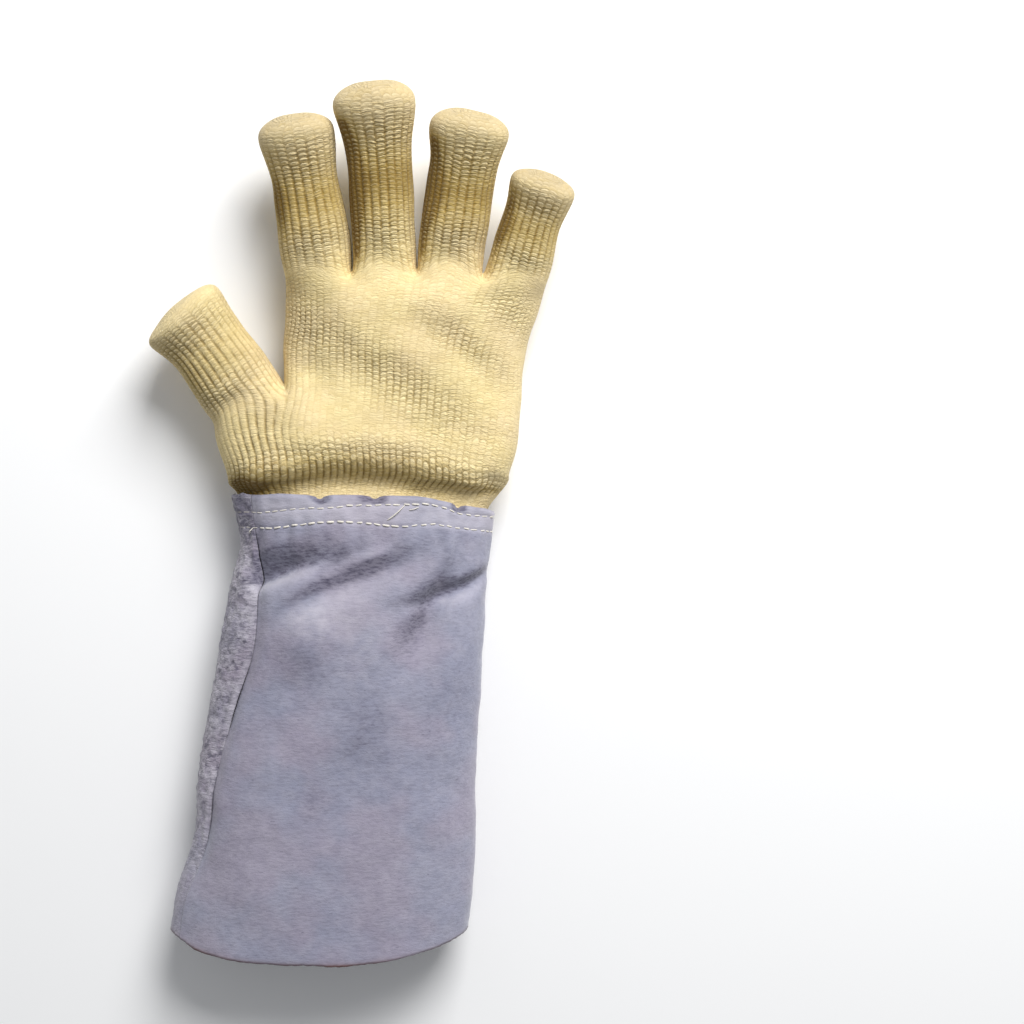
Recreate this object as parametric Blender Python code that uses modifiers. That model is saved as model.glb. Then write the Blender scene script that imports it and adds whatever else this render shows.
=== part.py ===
"""Heat resistant gauntlet glove, left hand: a seamless terry-knit hand sewn into a cuff of two suede leather panels.

The glove lies on its back with the palm up. +Y runs to the fingertips, the thumb is on the -X side, and the origin is
in the middle of the cuff's flat underside. All sizes are in metres.
"""

import math
from collections import namedtuple

import bpy
import numpy as np

# Leather cuff
CUFF_LENGTH = 0.223
CUFF_TOP_WIDTH = 0.129
CUFF_TOP_DEPTH = 0.047
CUFF_HEM_WIDTH = 0.145
CUFF_HEM_DEPTH = 0.052
CUFF_LEAN = 6.0
HEM_BOW = 0.012
TOP_EDGE_DROOP = 0.008
LEATHER_THICKNESS = 0.0018
SEAM_VALLEY_DEPTH = 0.0022
SEAM_VALLEY_WIDTH = 0.009
KNIT_VALLEY_WIDTH = 0.026
STITCHED_BAND = 0.020
FLATTENED_DEPTH = 0.0030

# Knitted hand
PALM_LENGTH = 0.110
PALM_WIDTH = 0.116
PALM_DEPTH = 0.046
FINGER_LENGTH = 0.088
FINGER_WIDTH = 0.0335
FINGER_DEPTH = 0.030
KNIT_THICKNESS = 0.0030
TUCKED_LENGTH = 0.024
NECK_ABOVE_CUFF = 0.0013
WEB_DROP = 0.006
BACK_CLEARANCE = 0.0011

# What neighbouring pieces keep between them
PIECE_GAP = 0.0005
KNIT_TO_LEATHER_GAP = 0.0009

# How square the sections are: 2 is an ellipse, more is squarer
SECTION_SQUARENESS = 2.3

# Where the cuff's grid lines run: its rows stand closer together towards the top edge, where the folds are
CUFF_COLUMNS_PALM = 19
CUFF_COLUMNS_BACK = 21
CUFF_ROWS = 23
ROWS_CROWD_UPWARDS = 1.35

WRIST_Y = CUFF_LENGTH / 2

# Each digit: root's place as shares of PALM_WIDTH from the hand's middle line and of PALM_LENGTH from the wrist, root's
# height as a share of PALM_DEPTH, length, width and depth as shares of the finger sizes, width over the base and over
# the tip's bulge as shares of the digit's own width, splay in degrees towards the little finger, and sideways bow and
# lift of the tip as shares of the digit's own length.
Digit = namedtuple("Digit", "across up height length width depth base tip splay bow lift")
DIGITS = {
    "little": Digit(0.627, 0.966, 0.52, 0.572, 0.89, 0.90, 1.05, 1.08, 13.5, 0.060, 0.24),
    "ring": Digit(0.344, 1.010, 0.53, 0.835, 1.00, 1.00, 0.98, 1.15, 6.5, 0.050, 0.24),
    "middle": Digit(0.074, 1.007, 0.54, 0.982, 0.97, 1.02, 0.95, 1.21, -2.0, -0.020, 0.24),
    "index": Digit(-0.203, 0.988, 0.54, 0.838, 1.00, 1.00, 1.03, 1.11, -7.5, -0.020, 0.24),
    "thumb": Digit(-0.500, 0.408, 0.54, 0.655, 1.19, 1.12, 1.00, 1.09, -31.0, -0.100, 0.16),
}
FINGERS = ("little", "ring", "middle", "index")

# The digit's rounds from just above the web to the shoulder of the tip: place along the digit, how much they take of the
# base's width and of the tip's, and width and depth shares.
Round = namedtuple("Round", "along base tip width depth")
DIGIT_ROUNDS = (
    Round(0.14, 1.0, 0.00, 1.00, 1.02),
    Round(0.34, 0.6, 0.00, 1.00, 1.00),
    Round(0.55, 0.0, 0.00, 0.97, 0.96),
    Round(0.72, 0.0, 0.25, 0.98, 0.95),
    Round(0.87, 0.0, 1.00, 1.00, 1.03),
    Round(0.945, 0.0, 1.00, 0.90, 0.88),
    Round(0.985, 0.0, 1.00, 0.58, 0.56),
)

# The palm between the finger webs and the thumb's web: height from the wrist as a share of PALM_LENGTH, thumb-side and
# little-finger-side edges as shares of PALM_WIDTH, height of the palm face as a share of PALM_DEPTH, and how far the row
# arches down to its sides as a share of PALM_LENGTH.
Row = namedtuple("Row", "up left right face arch")
UPPER_ROWS = (
    Row(0.865, -0.352, 0.733, 0.96, 0.0),
    Row(0.745, -0.357, 0.695, 1.00, 0.0),
    Row(0.620, -0.361, 0.665, 1.02, 0.0),
)
THUMB_WEB_ROW = Row(0.465, -0.350, 0.648, 1.04, 0.0)
THUMB_WEB_UP = 0.500

# The web between thumb and palm, on its palm side and its back side: place from the web's middle towards the little
# finger and the wrist, as shares of PALM_WIDTH, and height from the web's middle as a share of PALM_DEPTH.
THUMB_WEB_SLOPES = ((0.030, 0.075, 0.43), (0.030, 0.075, -0.42))

# How far the palm-side and back-side ends of a finger web stand from its middle, as a share of the finger's depth.
WEB_HALF_DEPTH = 0.40

# The heel of the hand, from below the thumb's web to the furrow under its roll.
LOWER_ROWS = (
    Row(0.300, -0.638, 0.634, 1.10, 0.020),
    Row(0.172, -0.593, 0.600, 1.11, 0.075),
    Row(0.088, -0.589, 0.588, 0.97, 0.040),
)

# Where the knit's columns stand across the heel, from the thumb side, as shares of its width, and where the outermost
# column stands between the hand's edge and the first finger's middle.
HEEL_COLUMNS = (0.035, 0.125, 0.235, 0.335, 0.430, 0.520, 0.610, 0.700, 0.790, 0.880, 0.965)
EDGE_COLUMN = 0.35

# The knit's last rounds, from its neck above the cuff to its end inside, as shares of the way.
TUCKED_ROUNDS = (0.0, 0.4, 1.0)

# The cuff from its top edge to its hem: place along it, how far its width has gone from the top's to the hem's, and how
# far its middle strays from its straight lean, as a share of CUFF_TOP_WIDTH.
Girth = namedtuple("Girth", "along swell sway")
CUFF_GIRTHS = (
    Girth(0.00, 0.05, -0.020),
    Girth(0.10, -0.45, 0.010),
    Girth(0.20, -0.22, 0.000),
    Girth(0.40, 0.10, 0.000),
    Girth(0.64, 0.44, 0.000),
    Girth(0.77, 0.54, 0.018),
    Girth(0.93, 1.00, 0.000),
    Girth(1.00, 1.05, 0.000),
)

# Each dent of the cuff: middle in degrees round the cuff and as a share of its length, half-sizes in the same units,
# slant in degrees round per whole length, and depth as a share of CUFF_TOP_DEPTH (negative stands out).
Dent = namedtuple("Dent", "turn along half_turn half_along slant depth")
CUFF_DENTS = (
    Dent(126.0, 0.160, 21.0, 0.034, 330.0, 0.120),
    Dent(100.0, 0.190, 7.0, 0.065, 150.0, 0.080),
    Dent(80.0, 0.170, 9.0, 0.036, 340.0, 0.070),
    Dent(36.0, 0.202, 24.0, 0.036, 600.0, 0.105),
    Dent(62.0, 0.315, 9.0, 0.110, 60.0, 0.100),
    Dent(104.0, 0.300, 18.0, 0.080, 0.0, -0.060),
    Dent(40.0, 0.360, 16.0, 0.140, 60.0, -0.030),
    Dent(84.0, 0.600, 15.0, 0.140, 60.0, 0.035),
    Dent(120.0, 0.750, 18.0, 0.180, -30.0, -0.030),
)

# Where the two seams between the panels run: place along the cuff, and degrees round it for the seam on the thumb side
# and for the one on the little-finger side.
Seam = namedtuple("Seam", "along thumb little")
SEAM_TURNS = (
    Seam(0.00, 143.0, -14.0),
    Seam(0.08, 148.0, -14.0),
    Seam(0.20, 137.0, -13.0),
    Seam(0.32, 133.0, -13.0),
    Seam(0.46, 140.0, -12.0),
    Seam(0.62, 147.0, -12.0),
    Seam(0.80, 153.0, -11.0),
    Seam(1.00, 155.0, -10.0),
)

# How much shallower the seams' valleys are where the stitched band holds the leather out.
STITCHED_VALLEY_LOSS = 0.6


def blend(start, end, share):
    return start + (end - start) * share


def unit(vector):
    return vector / np.linalg.norm(vector)


def smooth_through(rows, at):
    """The second and later columns of a table at a value of its first, on a smooth curve through its rows."""
    table = np.array(rows)
    slopes = np.gradient(table[:, 1:], table[:, 0], axis=0)
    place = int(np.clip(np.searchsorted(table[:, 0], at) - 1, 0, len(table) - 2))
    start, end = table[place], table[place + 1]
    span = end[0] - start[0]
    t = min(max((at - start[0]) / span, 0.0), 1.0)
    rise = (2 * t**3 - 3 * t**2 + 1) * start[1:] + (3 * t**2 - 2 * t**3) * end[1:]
    return rise + span * ((t**3 - 2 * t**2 + t) * slopes[place] + (t**3 - t**2) * slopes[place + 1])


def rounded_square(turn):
    """The unit section at an angle: 0 degrees is the little-finger side, 90 the palm face, 180 the thumb side."""
    c = math.cos(math.radians(turn))
    s = math.sin(math.radians(turn))
    power = 2 / SECTION_SQUARENESS
    return math.copysign(abs(c) ** power, c), math.copysign(abs(s) ** power, s)


def turn_at(share, on_palm):
    """The angle at which a section stands at a share of its width, counted from the thumb side."""
    across = 2 * share - 1
    c = math.copysign(abs(across) ** (SECTION_SQUARENESS / 2), across)
    turn = math.degrees(math.acos(c))
    return turn if on_palm else 360 - turn


def cuff_section(turn, along):
    """A point of the cuff's outer face before dents: turn in degrees, along from 0 at the top edge to 1 at the hem."""
    across, up = rounded_square(turn)
    swell, sway = smooth_through(CUFF_GIRTHS, along)
    width = blend(CUFF_TOP_WIDTH, CUFF_HEM_WIDTH, swell)
    depth = blend(CUFF_TOP_DEPTH, CUFF_HEM_DEPTH, along) + FLATTENED_DEPTH
    reach = along * CUFF_LENGTH
    x = across * width / 2 + sway * CUFF_TOP_WIDTH - reach * math.tan(math.radians(CUFF_LEAN))
    side = abs(across) ** 3
    y = WRIST_Y - reach + HEM_BOW * along**3 * side
    y -= TOP_EDGE_DROOP * (1 - along) ** 6 * max(across, 0) ** 2
    z = (up + 1) * depth / 2 - FLATTENED_DEPTH
    return np.array((x, y, z))


def outward(turn, along):
    step = 0.5
    reach = 0.004
    round_cuff = cuff_section(turn + step, along) - cuff_section(turn - step, along)
    down_cuff = cuff_section(turn, along + reach) - cuff_section(turn, along - reach)
    return unit(np.cross(round_cuff, down_cuff))


def cuff_relief(turn, along, valley_width):
    """How far the leather stands out of its plain section, from its dents and the valleys along its seams."""
    relief = 0.0
    for dent in CUFF_DENTS:
        off_turn = (turn - dent.turn - dent.slant * (along - dent.along)) / dent.half_turn
        off_along = (along - dent.along) / dent.half_along
        relief -= dent.depth * CUFF_TOP_DEPTH * math.exp(-(off_turn**2) - off_along**2)
    depth = SEAM_VALLEY_DEPTH * (1 - STITCHED_VALLEY_LOSS * math.exp(-((along * CUFF_LENGTH / STITCHED_BAND) ** 2)))
    for seam_turn in smooth_through(SEAM_TURNS, along):
        middle = cuff_section(seam_turn, along)
        away = np.linalg.norm(cuff_section(turn, along) - middle) / (valley_width / 2)
        relief -= depth * math.exp(-(away**2))
    return relief


def cuff_point(turn, along, inset=0.0, valley_width=SEAM_VALLEY_WIDTH):
    """A point of the dented cuff, or inset below its outer face, pressed flat where it rests."""
    turn = (turn + 90) % 360 - 90
    relief = cuff_relief(turn, along, valley_width)
    point = cuff_section(turn, along) + outward(turn, along) * (relief - inset)
    point[2] = max(point[2], inset)
    return point


class Cage:
    """Quads that Subdivision Surface rounds off, laid as rings of points."""

    def __init__(self):
        self.points = []
        self.quads = []

    def point(self, place):
        self.points.append(np.array(place, float))
        return len(self.points) - 1

    def ring(self, places):
        return [self.point(place) for place in places]

    def tube(self, near, far):
        """Joins two rings of one size, where far lies nearer to the fingertips."""
        for k in range(len(near)):
            after = (k + 1) % len(near)
            self.quads.append((near[k], far[k], far[after], near[after]))

    def cap(self, ring, tip):
        for k in range(0, len(ring), 2):
            self.quads.append((ring[k], tip, ring[(k + 2) % len(ring)], ring[k + 1]))

    def rounded(self, rim):
        """Where Subdivision Surface finally puts each cage point."""
        points = np.array(self.points)
        quads = np.array(self.quads)
        near = np.zeros_like(points)
        far = np.zeros_like(points)
        count = np.zeros((len(points), 1))
        for corner in range(4):
            here = quads[:, corner]
            beside = points[quads[:, corner - 1]] + points[quads[:, (corner + 1) % 4]]
            np.add.at(count, here, 1)
            np.add.at(near, here, beside / 2)
            np.add.at(far, here, points[quads[:, (corner + 2) % 4]])
        placed = (count**2 * points + 4 * near + far) / (count * (count + 5))
        edge = points[rim]
        placed[rim] = (4 * edge + np.roll(edge, 1, axis=0) + np.roll(edge, -1, axis=0)) / 6
        return placed

    def swell(self, rim, rounds=60):
        """Moves the cage out until its rounded-off skin passes through the places that it was given."""
        wanted = np.array(self.points)
        for _ in range(rounds):
            self.points = list(np.array(self.points) + wanted - self.rounded(rim))


def digit_root(digit):
    return np.array((digit.across * PALM_WIDTH, WRIST_Y + digit.up * PALM_LENGTH, digit.height * PALM_DEPTH))


def digit_frame(digit, along):
    """Middle of the digit at a share of its length, with its sideways and palm-ward directions there."""
    splay = math.radians(digit.splay)
    forward = np.array((math.sin(splay), math.cos(splay), 0.0))
    aside = np.array((math.cos(splay), -math.sin(splay), 0.0))
    upward = np.array((0.0, 0.0, 1.0))
    length = digit.length * FINGER_LENGTH
    middle = digit_root(digit) + length * (along * forward + along**2 * (digit.bow * aside + digit.lift * upward))
    heading = unit(forward + 2 * along * (digit.bow * aside + digit.lift * upward))
    side = unit(np.cross(heading, upward))
    return middle, side, np.cross(side, heading)


def digit_point(digit, along, turn, width_share=1.0, depth_share=1.0):
    middle, side, palmward = digit_frame(digit, along)
    across, up = rounded_square(turn)
    width = digit.width * FINGER_WIDTH * width_share
    depth = digit.depth * FINGER_DEPTH * depth_share
    return middle + side * across * width / 2 + palmward * up * depth / 2


def grow_digit(cage, digit, base):
    """Runs the digit's tube from its base ring to a closed tip."""
    ring = base
    for step in DIGIT_ROUNDS:
        turns = range(0, 360, 45)
        width = step.width * blend(blend(1.0, digit.base, step.base), digit.tip, step.tip)
        upper = cage.ring(digit_point(digit, step.along, turn, width, step.depth) for turn in turns)
        cage.tube(ring, upper)
        ring = upper
    tip = cage.point(digit_frame(digit, 1.0)[0])
    cage.cap(ring, tip)


def web_places(one, other):
    """Palm-side, middle and back-side places of the web between two neighbouring fingers."""
    middle = (digit_root(one) + digit_root(other)) / 2
    depth = (one.depth + other.depth) / 2 * FINGER_DEPTH
    drop = np.array((0.0, -WEB_DROP, 0.0))
    rise = np.array((0.0, 0.0, depth * WEB_HALF_DEPTH))
    return middle + drop + rise, middle, middle + drop - rise


def column_turns(columns):
    """Angles from the little-finger side over the palm face, round the thumb side and along the back."""
    over_palm = [turn_at(share, True) for share in reversed(columns)]
    over_back = [turn_at(share, False) for share in columns]
    return [0.0] + over_palm + [180.0] + over_back


def hand_section(row, columns):
    """A ring of the palm at one of the tables' rows."""
    left = row.left * PALM_WIDTH
    right = row.right * PALM_WIDTH
    low = BACK_CLEARANCE - FLATTENED_DEPTH
    high = row.face * PALM_DEPTH
    places = []
    for turn in column_turns(columns):
        across, up = rounded_square(turn)
        y = WRIST_Y + (row.up - row.arch * across**2) * PALM_LENGTH
        z = max(blend(low, high, (up + 1) / 2), BACK_CLEARANCE)
        places.append((blend(left, right, (across + 1) / 2), y, z))
    return places


def finger_columns():
    """Where the finger webs and finger middles stand across the knuckles, from the thumb side."""
    middles = [digit_root(DIGITS[name])[0] for name in reversed(FINGERS)]
    left = middles[0] - DIGITS["index"].width * FINGER_WIDTH / 2
    right = middles[3] + DIGITS["little"].width * FINGER_WIDTH / 2
    stops = [middles[0]]
    for before, after in zip(middles, middles[1:]):
        stops += [(before + after) / 2, after]
    shares = [(stop - left) / (right - left) for stop in stops]
    return [shares[0] * EDGE_COLUMN] + shares + [1 - (1 - shares[-1]) * EDGE_COLUMN]


def upper_columns(up):
    """The knit's columns at a height of the palm, which spread evenly towards the thumb's web."""
    even = np.linspace(HEEL_COLUMNS[0], HEEL_COLUMNS[-1], 9)
    share = (1.0 - up) / (1.0 - THUMB_WEB_ROW.up)
    return list(blend(np.array(finger_columns()), even, share))


def hand_cage():
    cage = Cage()
    webs = []
    for one, other in zip(FINGERS, FINGERS[1:]):
        webs.append(cage.ring(web_places(DIGITS[one], DIGITS[other])))
    palm_side = []
    back_side = []
    for number, name in enumerate(FINGERS):
        digit = DIGITS[name]
        own = {turn: cage.point(digit_point(digit, 0.0, turn)) for turn in (90, 270)}
        if number == 0:
            outer = cage.ring(digit_point(digit, 0.0, turn) for turn in (45, 0, 315))
        if number == 3:
            outer = cage.ring(digit_point(digit, 0.0, turn) for turn in (135, 180, 225))
        right = outer if number == 0 else webs[number - 1]
        left = outer if number == 3 else webs[number]
        base = [right[1], right[0], own[90], left[0], left[1], left[2], own[270], right[2]]
        grow_digit(cage, digit, base)
        palm_side += [right[0], own[90]]
        back_side += [right[2], own[270]]
        if number == 0:
            side_start = right[1]
    ring = [side_start] + palm_side + [outer[0], outer[1], outer[2]] + back_side[::-1]

    for row in UPPER_ROWS:
        lower = cage.ring(hand_section(row, upper_columns(row.up)))
        cage.tube(lower, ring)
        ring = lower

    row = THUMB_WEB_ROW
    lower = cage.ring(hand_section(row, upper_columns(row.up)))
    web = lower[10]
    middle = np.array((row.left * PALM_WIDTH, WRIST_Y + THUMB_WEB_UP * PALM_LENGTH, PALM_DEPTH / 2))
    cage.points[web] = middle
    for corner, (across, down, rise) in zip((lower[9], lower[11]), THUMB_WEB_SLOPES):
        cage.points[corner] = middle + np.array((across * PALM_WIDTH, -down * PALM_WIDTH, rise * PALM_DEPTH))
    cage.tube(lower, ring)
    thumb = DIGITS["thumb"]
    outside = cage.ring(digit_point(thumb, 0.0, turn) for turn in range(90, 271, 45))
    grow_digit(cage, thumb, [web, lower[9]] + outside + [lower[11]])
    ring = lower[:10] + outside + lower[11:]

    for row in LOWER_ROWS:
        lower = cage.ring(hand_section(row, HEEL_COLUMNS))
        cage.tube(lower, ring)
        ring = lower

    inset = LEATHER_THICKNESS + KNIT_TO_LEATHER_GAP
    for share in TUCKED_ROUNDS:
        along = blend(-NECK_ABOVE_CUFF, TUCKED_LENGTH, share) / CUFF_LENGTH
        turns = column_turns(HEEL_COLUMNS)
        lower = cage.ring(cuff_point(turn, along, inset, KNIT_VALLEY_WIDTH) for turn in turns)
        cage.tube(lower, ring)
        ring = lower
    cage.swell(ring)
    return cage


def new_object(name, points, faces, collection, material):
    mesh = bpy.data.meshes.new(name)
    mesh.from_pydata([tuple(p) for p in points], [], [tuple(f) for f in faces])
    mesh.shade_smooth()
    mesh.materials.append(material)
    obj = bpy.data.objects.new(name, mesh)
    collection.objects.link(obj)
    return obj


def thicken(obj, thickness):
    """Gives an open surface its wall, inwards from the face that was modelled."""
    wall = obj.modifiers.new("Wall", "SOLIDIFY")
    wall.thickness = thickness
    wall.offset = -1.0
    wall.use_quality_normals = True


def material(name, colour, roughness):
    made = bpy.data.materials.new(name)
    made.use_nodes = True
    shader = made.node_tree.nodes["Principled BSDF"]
    shader.inputs["Base Color"].default_value = (*colour, 1.0)
    shader.inputs["Roughness"].default_value = roughness
    shader.inputs["Metallic"].default_value = 0.0
    made.diffuse_color = (*colour, 1.0)
    return made


def make_knit_hand(collection):
    cage = hand_cage()
    look = material("Aramid terry knit", (0.72, 0.60, 0.33), 0.95)
    hand = new_object("knit_hand", cage.points, cage.quads, collection, look)
    smooth = hand.modifiers.new("Round off", "SUBSURF")
    smooth.levels = 1
    smooth.render_levels = 1
    thicken(hand, KNIT_THICKNESS)
    return hand


def make_panel(name, on_palm, columns, collection, look):
    """A leather panel from one seam round to the other, with half the piece gap left at each."""
    points = []
    faces = []
    for row in range(CUFF_ROWS):
        along = (row / (CUFF_ROWS - 1)) ** ROWS_CROWD_UPWARDS
        thumb, little = smooth_through(SEAM_TURNS, along)
        first, last = (little, thumb) if on_palm else (thumb, little + 360)
        per_degree = np.linalg.norm(cuff_point(first + 0.5, along) - cuff_point(first - 0.5, along))
        first += PIECE_GAP / 2 / per_degree
        per_degree = np.linalg.norm(cuff_point(last + 0.5, along) - cuff_point(last - 0.5, along))
        last -= PIECE_GAP / 2 / per_degree
        for column in range(columns):
            turn = blend(first, last, column / (columns - 1))
            points.append(cuff_point(turn, along))
    for row in range(CUFF_ROWS - 1):
        for column in range(columns - 1):
            here = row * columns + column
            faces.append((here, here + 1, here + columns + 1, here + columns))
    panel = new_object(name, points, faces, collection, look)
    thicken(panel, LEATHER_THICKNESS)
    return panel


def main():
    for obj in list(bpy.data.objects):
        bpy.data.objects.remove(obj, do_unlink=True)
    glove = bpy.data.collections.new("Gauntlet glove")
    bpy.context.scene.collection.children.link(glove)
    make_knit_hand(glove)
    palm_suede = material("Palm suede", (0.42, 0.42, 0.55), 0.9)
    back_suede = material("Back suede", (0.45, 0.43, 0.55), 0.95)
    make_panel("cuff_palm_panel", True, CUFF_COLUMNS_PALM, glove, palm_suede)
    make_panel("cuff_back_panel", False, CUFF_COLUMNS_BACK, glove, back_suede)


main()
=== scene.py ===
# %% [markdown]
# # A heat resistant gauntlet glove
# The glove is a seamless terry-knit hand sewn into a long cuff of two suede leather panels. It lies on its back
# with the palm up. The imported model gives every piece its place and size. This script dresses it: the knit gets
# its ribs and loops, the suede its folds and nap, and the top edge of the cuff its two rows of stitches. In the
# constants and tables lengths are in metres and angles in degrees, unless a name says otherwise.

import math
from collections import namedtuple

import bpy
import numpy as np
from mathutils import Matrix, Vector, noise


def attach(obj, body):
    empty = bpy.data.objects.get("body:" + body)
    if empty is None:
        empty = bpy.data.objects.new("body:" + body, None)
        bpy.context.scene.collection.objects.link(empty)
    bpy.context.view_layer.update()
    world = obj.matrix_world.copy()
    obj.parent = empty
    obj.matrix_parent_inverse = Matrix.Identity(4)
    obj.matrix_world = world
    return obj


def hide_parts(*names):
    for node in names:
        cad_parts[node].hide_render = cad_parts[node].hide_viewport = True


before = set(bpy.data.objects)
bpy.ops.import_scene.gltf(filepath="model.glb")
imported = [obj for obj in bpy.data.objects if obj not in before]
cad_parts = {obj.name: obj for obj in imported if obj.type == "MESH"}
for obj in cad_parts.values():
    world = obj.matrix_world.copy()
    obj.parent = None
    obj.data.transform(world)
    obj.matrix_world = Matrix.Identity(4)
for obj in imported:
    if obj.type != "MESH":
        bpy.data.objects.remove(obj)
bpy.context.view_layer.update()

# %% [markdown]
# ## Camera
# The glove is looked at from straight above. The camera's height and its lens, written as the number of image
# pixels that one unit of slope covers, set how much larger the raised finger tips look than the cuff.

# %% Camera
IMAGE_SIDE = 1024
FOCAL_PIXELS = 1687.0
SENSOR_MM = 36.0
CAMERA_PLACE = (0.0706, 0.1033, 0.85)

camera = bpy.data.objects.new("camera", bpy.data.cameras.new("camera"))
camera.data.sensor_width = SENSOR_MM
camera.data.lens = SENSOR_MM * FOCAL_PIXELS / IMAGE_SIDE
camera.location = CAMERA_PLACE
bpy.context.scene.collection.objects.link(camera)
bpy.context.scene.camera = camera
print("lens in mm:", round(camera.data.lens, 2))

# %% [markdown]
# ## Floor and light
# A plain near-white floor carries the glove. One wide lamp beyond the finger tips gives soft, slanting light,
# which shows the ribs of the knit and the folds of the leather. A pale sky fills the shadows.

# %% Floor and light
FLOOR_SIDE = 6.0
FLOOR_WHITE = 0.92
FLOOR_ROUGHNESS = 0.9
LAMP_AIM = Vector((0.0, 0.08, 0.02))
LAMP_FROM = Vector((0.46, 0.98, 0.98))
LAMP_SIDE = 0.75
LAMP_WATTS = 27.5
SKY_COLOUR = (0.95, 0.97, 1.0, 1.0)
SKY_STRENGTH = 0.34

bpy.ops.mesh.primitive_plane_add(size=FLOOR_SIDE, location=(0, 0, 0))
floor = bpy.context.object
floor.name = "floor"
floor_paint = bpy.data.materials.new("floor paint")
floor_paint.use_nodes = True
floor_shader = floor_paint.node_tree.nodes["Principled BSDF"]
floor_shader.inputs["Base Color"].default_value = (FLOOR_WHITE, FLOOR_WHITE, FLOOR_WHITE, 1.0)
floor_shader.inputs["Roughness"].default_value = FLOOR_ROUGHNESS
floor.data.materials.append(floor_paint)

lamp = bpy.data.objects.new("lamp", bpy.data.lights.new("lamp", "AREA"))
lamp.data.size = LAMP_SIDE
lamp.data.energy = LAMP_WATTS
lamp.location = LAMP_AIM + LAMP_FROM
lamp.rotation_mode = "QUATERNION"
lamp.rotation_quaternion = LAMP_FROM.to_track_quat("Z", "Y")
bpy.context.scene.collection.objects.link(lamp)

sky = bpy.data.worlds.new("sky")
sky.use_nodes = True
sky.node_tree.nodes["Background"].inputs["Color"].default_value = SKY_COLOUR
sky.node_tree.nodes["Background"].inputs["Strength"].default_value = SKY_STRENGTH
bpy.context.scene.world = sky
bpy.context.scene.view_settings.view_transform = "Standard"
print("lamp", round(LAMP_FROM.length, 2), "m from the glove,", LAMP_SIDE, "m wide")

# %% [markdown]
# ## Shader maths
# A finish is a small calculation on each point of a surface. Written node by node it is long, so one class wraps
# a node's output and lets Python's own signs add the Math nodes. Every other node comes from the method `node`.
# Yarn, thread and suede all have little shine of their own and a soft fuzz, so every finish starts with those.


# %% Shader maths
FIBRE_SHINE = 0.2
FUZZ_ROUGHNESS = 0.5


class Signal:
    """An output of a node in a finish, which can be added, multiplied and so on."""

    def __init__(self, finish, socket):
        self.finish = finish
        self.socket = socket

    def maths(self, operation, *others):
        values = dict(enumerate((self, *others)))
        return self.finish.node("ShaderNodeMath", {"operation": operation}, values)

    def __add__(self, other):
        return self.maths("ADD", other)

    def __sub__(self, other):
        return self.maths("SUBTRACT", other)

    def __rsub__(self, other):
        return self.finish.node("ShaderNodeMath", {"operation": "SUBTRACT"}, {0: other, 1: self})

    def __mul__(self, other):
        return self.maths("MULTIPLY", other)

    __radd__ = __add__
    __rmul__ = __mul__

    def clipped(self):
        return self.maths("MINIMUM", 1.0).maths("MAXIMUM", 0.0)


class Finish:
    """A material whose nodes are added one call at a time."""

    def __init__(self, name, roughness, sheen):
        self.material = bpy.data.materials.new(name)
        self.material.use_nodes = True
        self.tree = self.material.node_tree
        self.shader = self.tree.nodes["Principled BSDF"]
        self.shader.inputs["Roughness"].default_value = roughness
        self.shader.inputs["Sheen Weight"].default_value = sheen
        self.shader.inputs["Sheen Roughness"].default_value = FUZZ_ROUGHNESS
        self.shader.inputs["Specular IOR Level"].default_value = FIBRE_SHINE

    def node(self, kind, settings=None, sockets=None, output=0):
        made = self.tree.nodes.new(kind)
        for name, value in (settings or {}).items():
            setattr(made, name, value)
        for name, value in (sockets or {}).items():
            self.feed(made.inputs[name], value)
        return Signal(self, made.outputs[output])

    def feed(self, socket, value):
        if isinstance(value, Signal):
            self.tree.links.new(value.socket, socket)
        elif isinstance(value, tuple):
            socket.default_value = (*value, 1.0) if socket.type == "RGBA" else value
        else:
            socket.default_value = value

    def attribute(self, name):
        return self.node("ShaderNodeAttribute", {"attribute_name": name}, output="Fac")

    def speckle(self, place, size, detail=2.0, roughness=0.5):
        """Smooth noise from 0 to 1 whose lumps are about size across."""
        values = {"Vector": place, "Scale": 1 / size, "Detail": detail, "Roughness": roughness}
        return self.node("ShaderNodeTexNoise", {}, values)

    def range(self, value, low, high, start=0.0, end=1.0):
        """A soft step from start to end, as the value goes from low to high."""
        sockets = {"Value": value, "From Min": low, "From Max": high, "To Min": start, "To Max": end}
        return self.node("ShaderNodeMapRange", {"interpolation_type": "SMOOTHSTEP"}, sockets)

    def colour(self, base, *coats):
        """Sets the colour: a base under coats of other colours, each laid on by its share from 0 to 1."""
        for share, coat in coats:
            base = self.node("ShaderNodeMix", {"data_type": "RGBA"}, {0: share, 6: base, 7: coat}, output=2)
        self.feed(self.shader.inputs["Base Color"], base)

    def bump(self, height, distance):
        """Tilts the light as if the surface had this height, times the distance in metres."""
        relief = self.node("ShaderNodeBump", {}, {"Height": height, "Distance": distance})
        self.feed(self.shader.inputs["Normal"], relief)

    def done(self):
        print(self.material.name, "is a finish of", len(self.tree.nodes), "nodes")
        return self.material


print("every finish starts with specular", FIBRE_SHINE, "and a fuzz of roughness", FUZZ_ROUGHNESS)

# %% [markdown]
# ## The cuff's form
# The cuff is a flattened tube. Every point of it has a `turn`, its angle round the tube (0 on the little-finger
# side, 90 on the palm face, 180 on the thumb side), and an `along`, from 0 at the top edge to 1 at the hem. A few
# tables say how wide the tube is, where its folds dent it and where its seams run. The stitched band near the top
# edge holds the leather out, so the valleys along the seams are shallower there.

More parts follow.
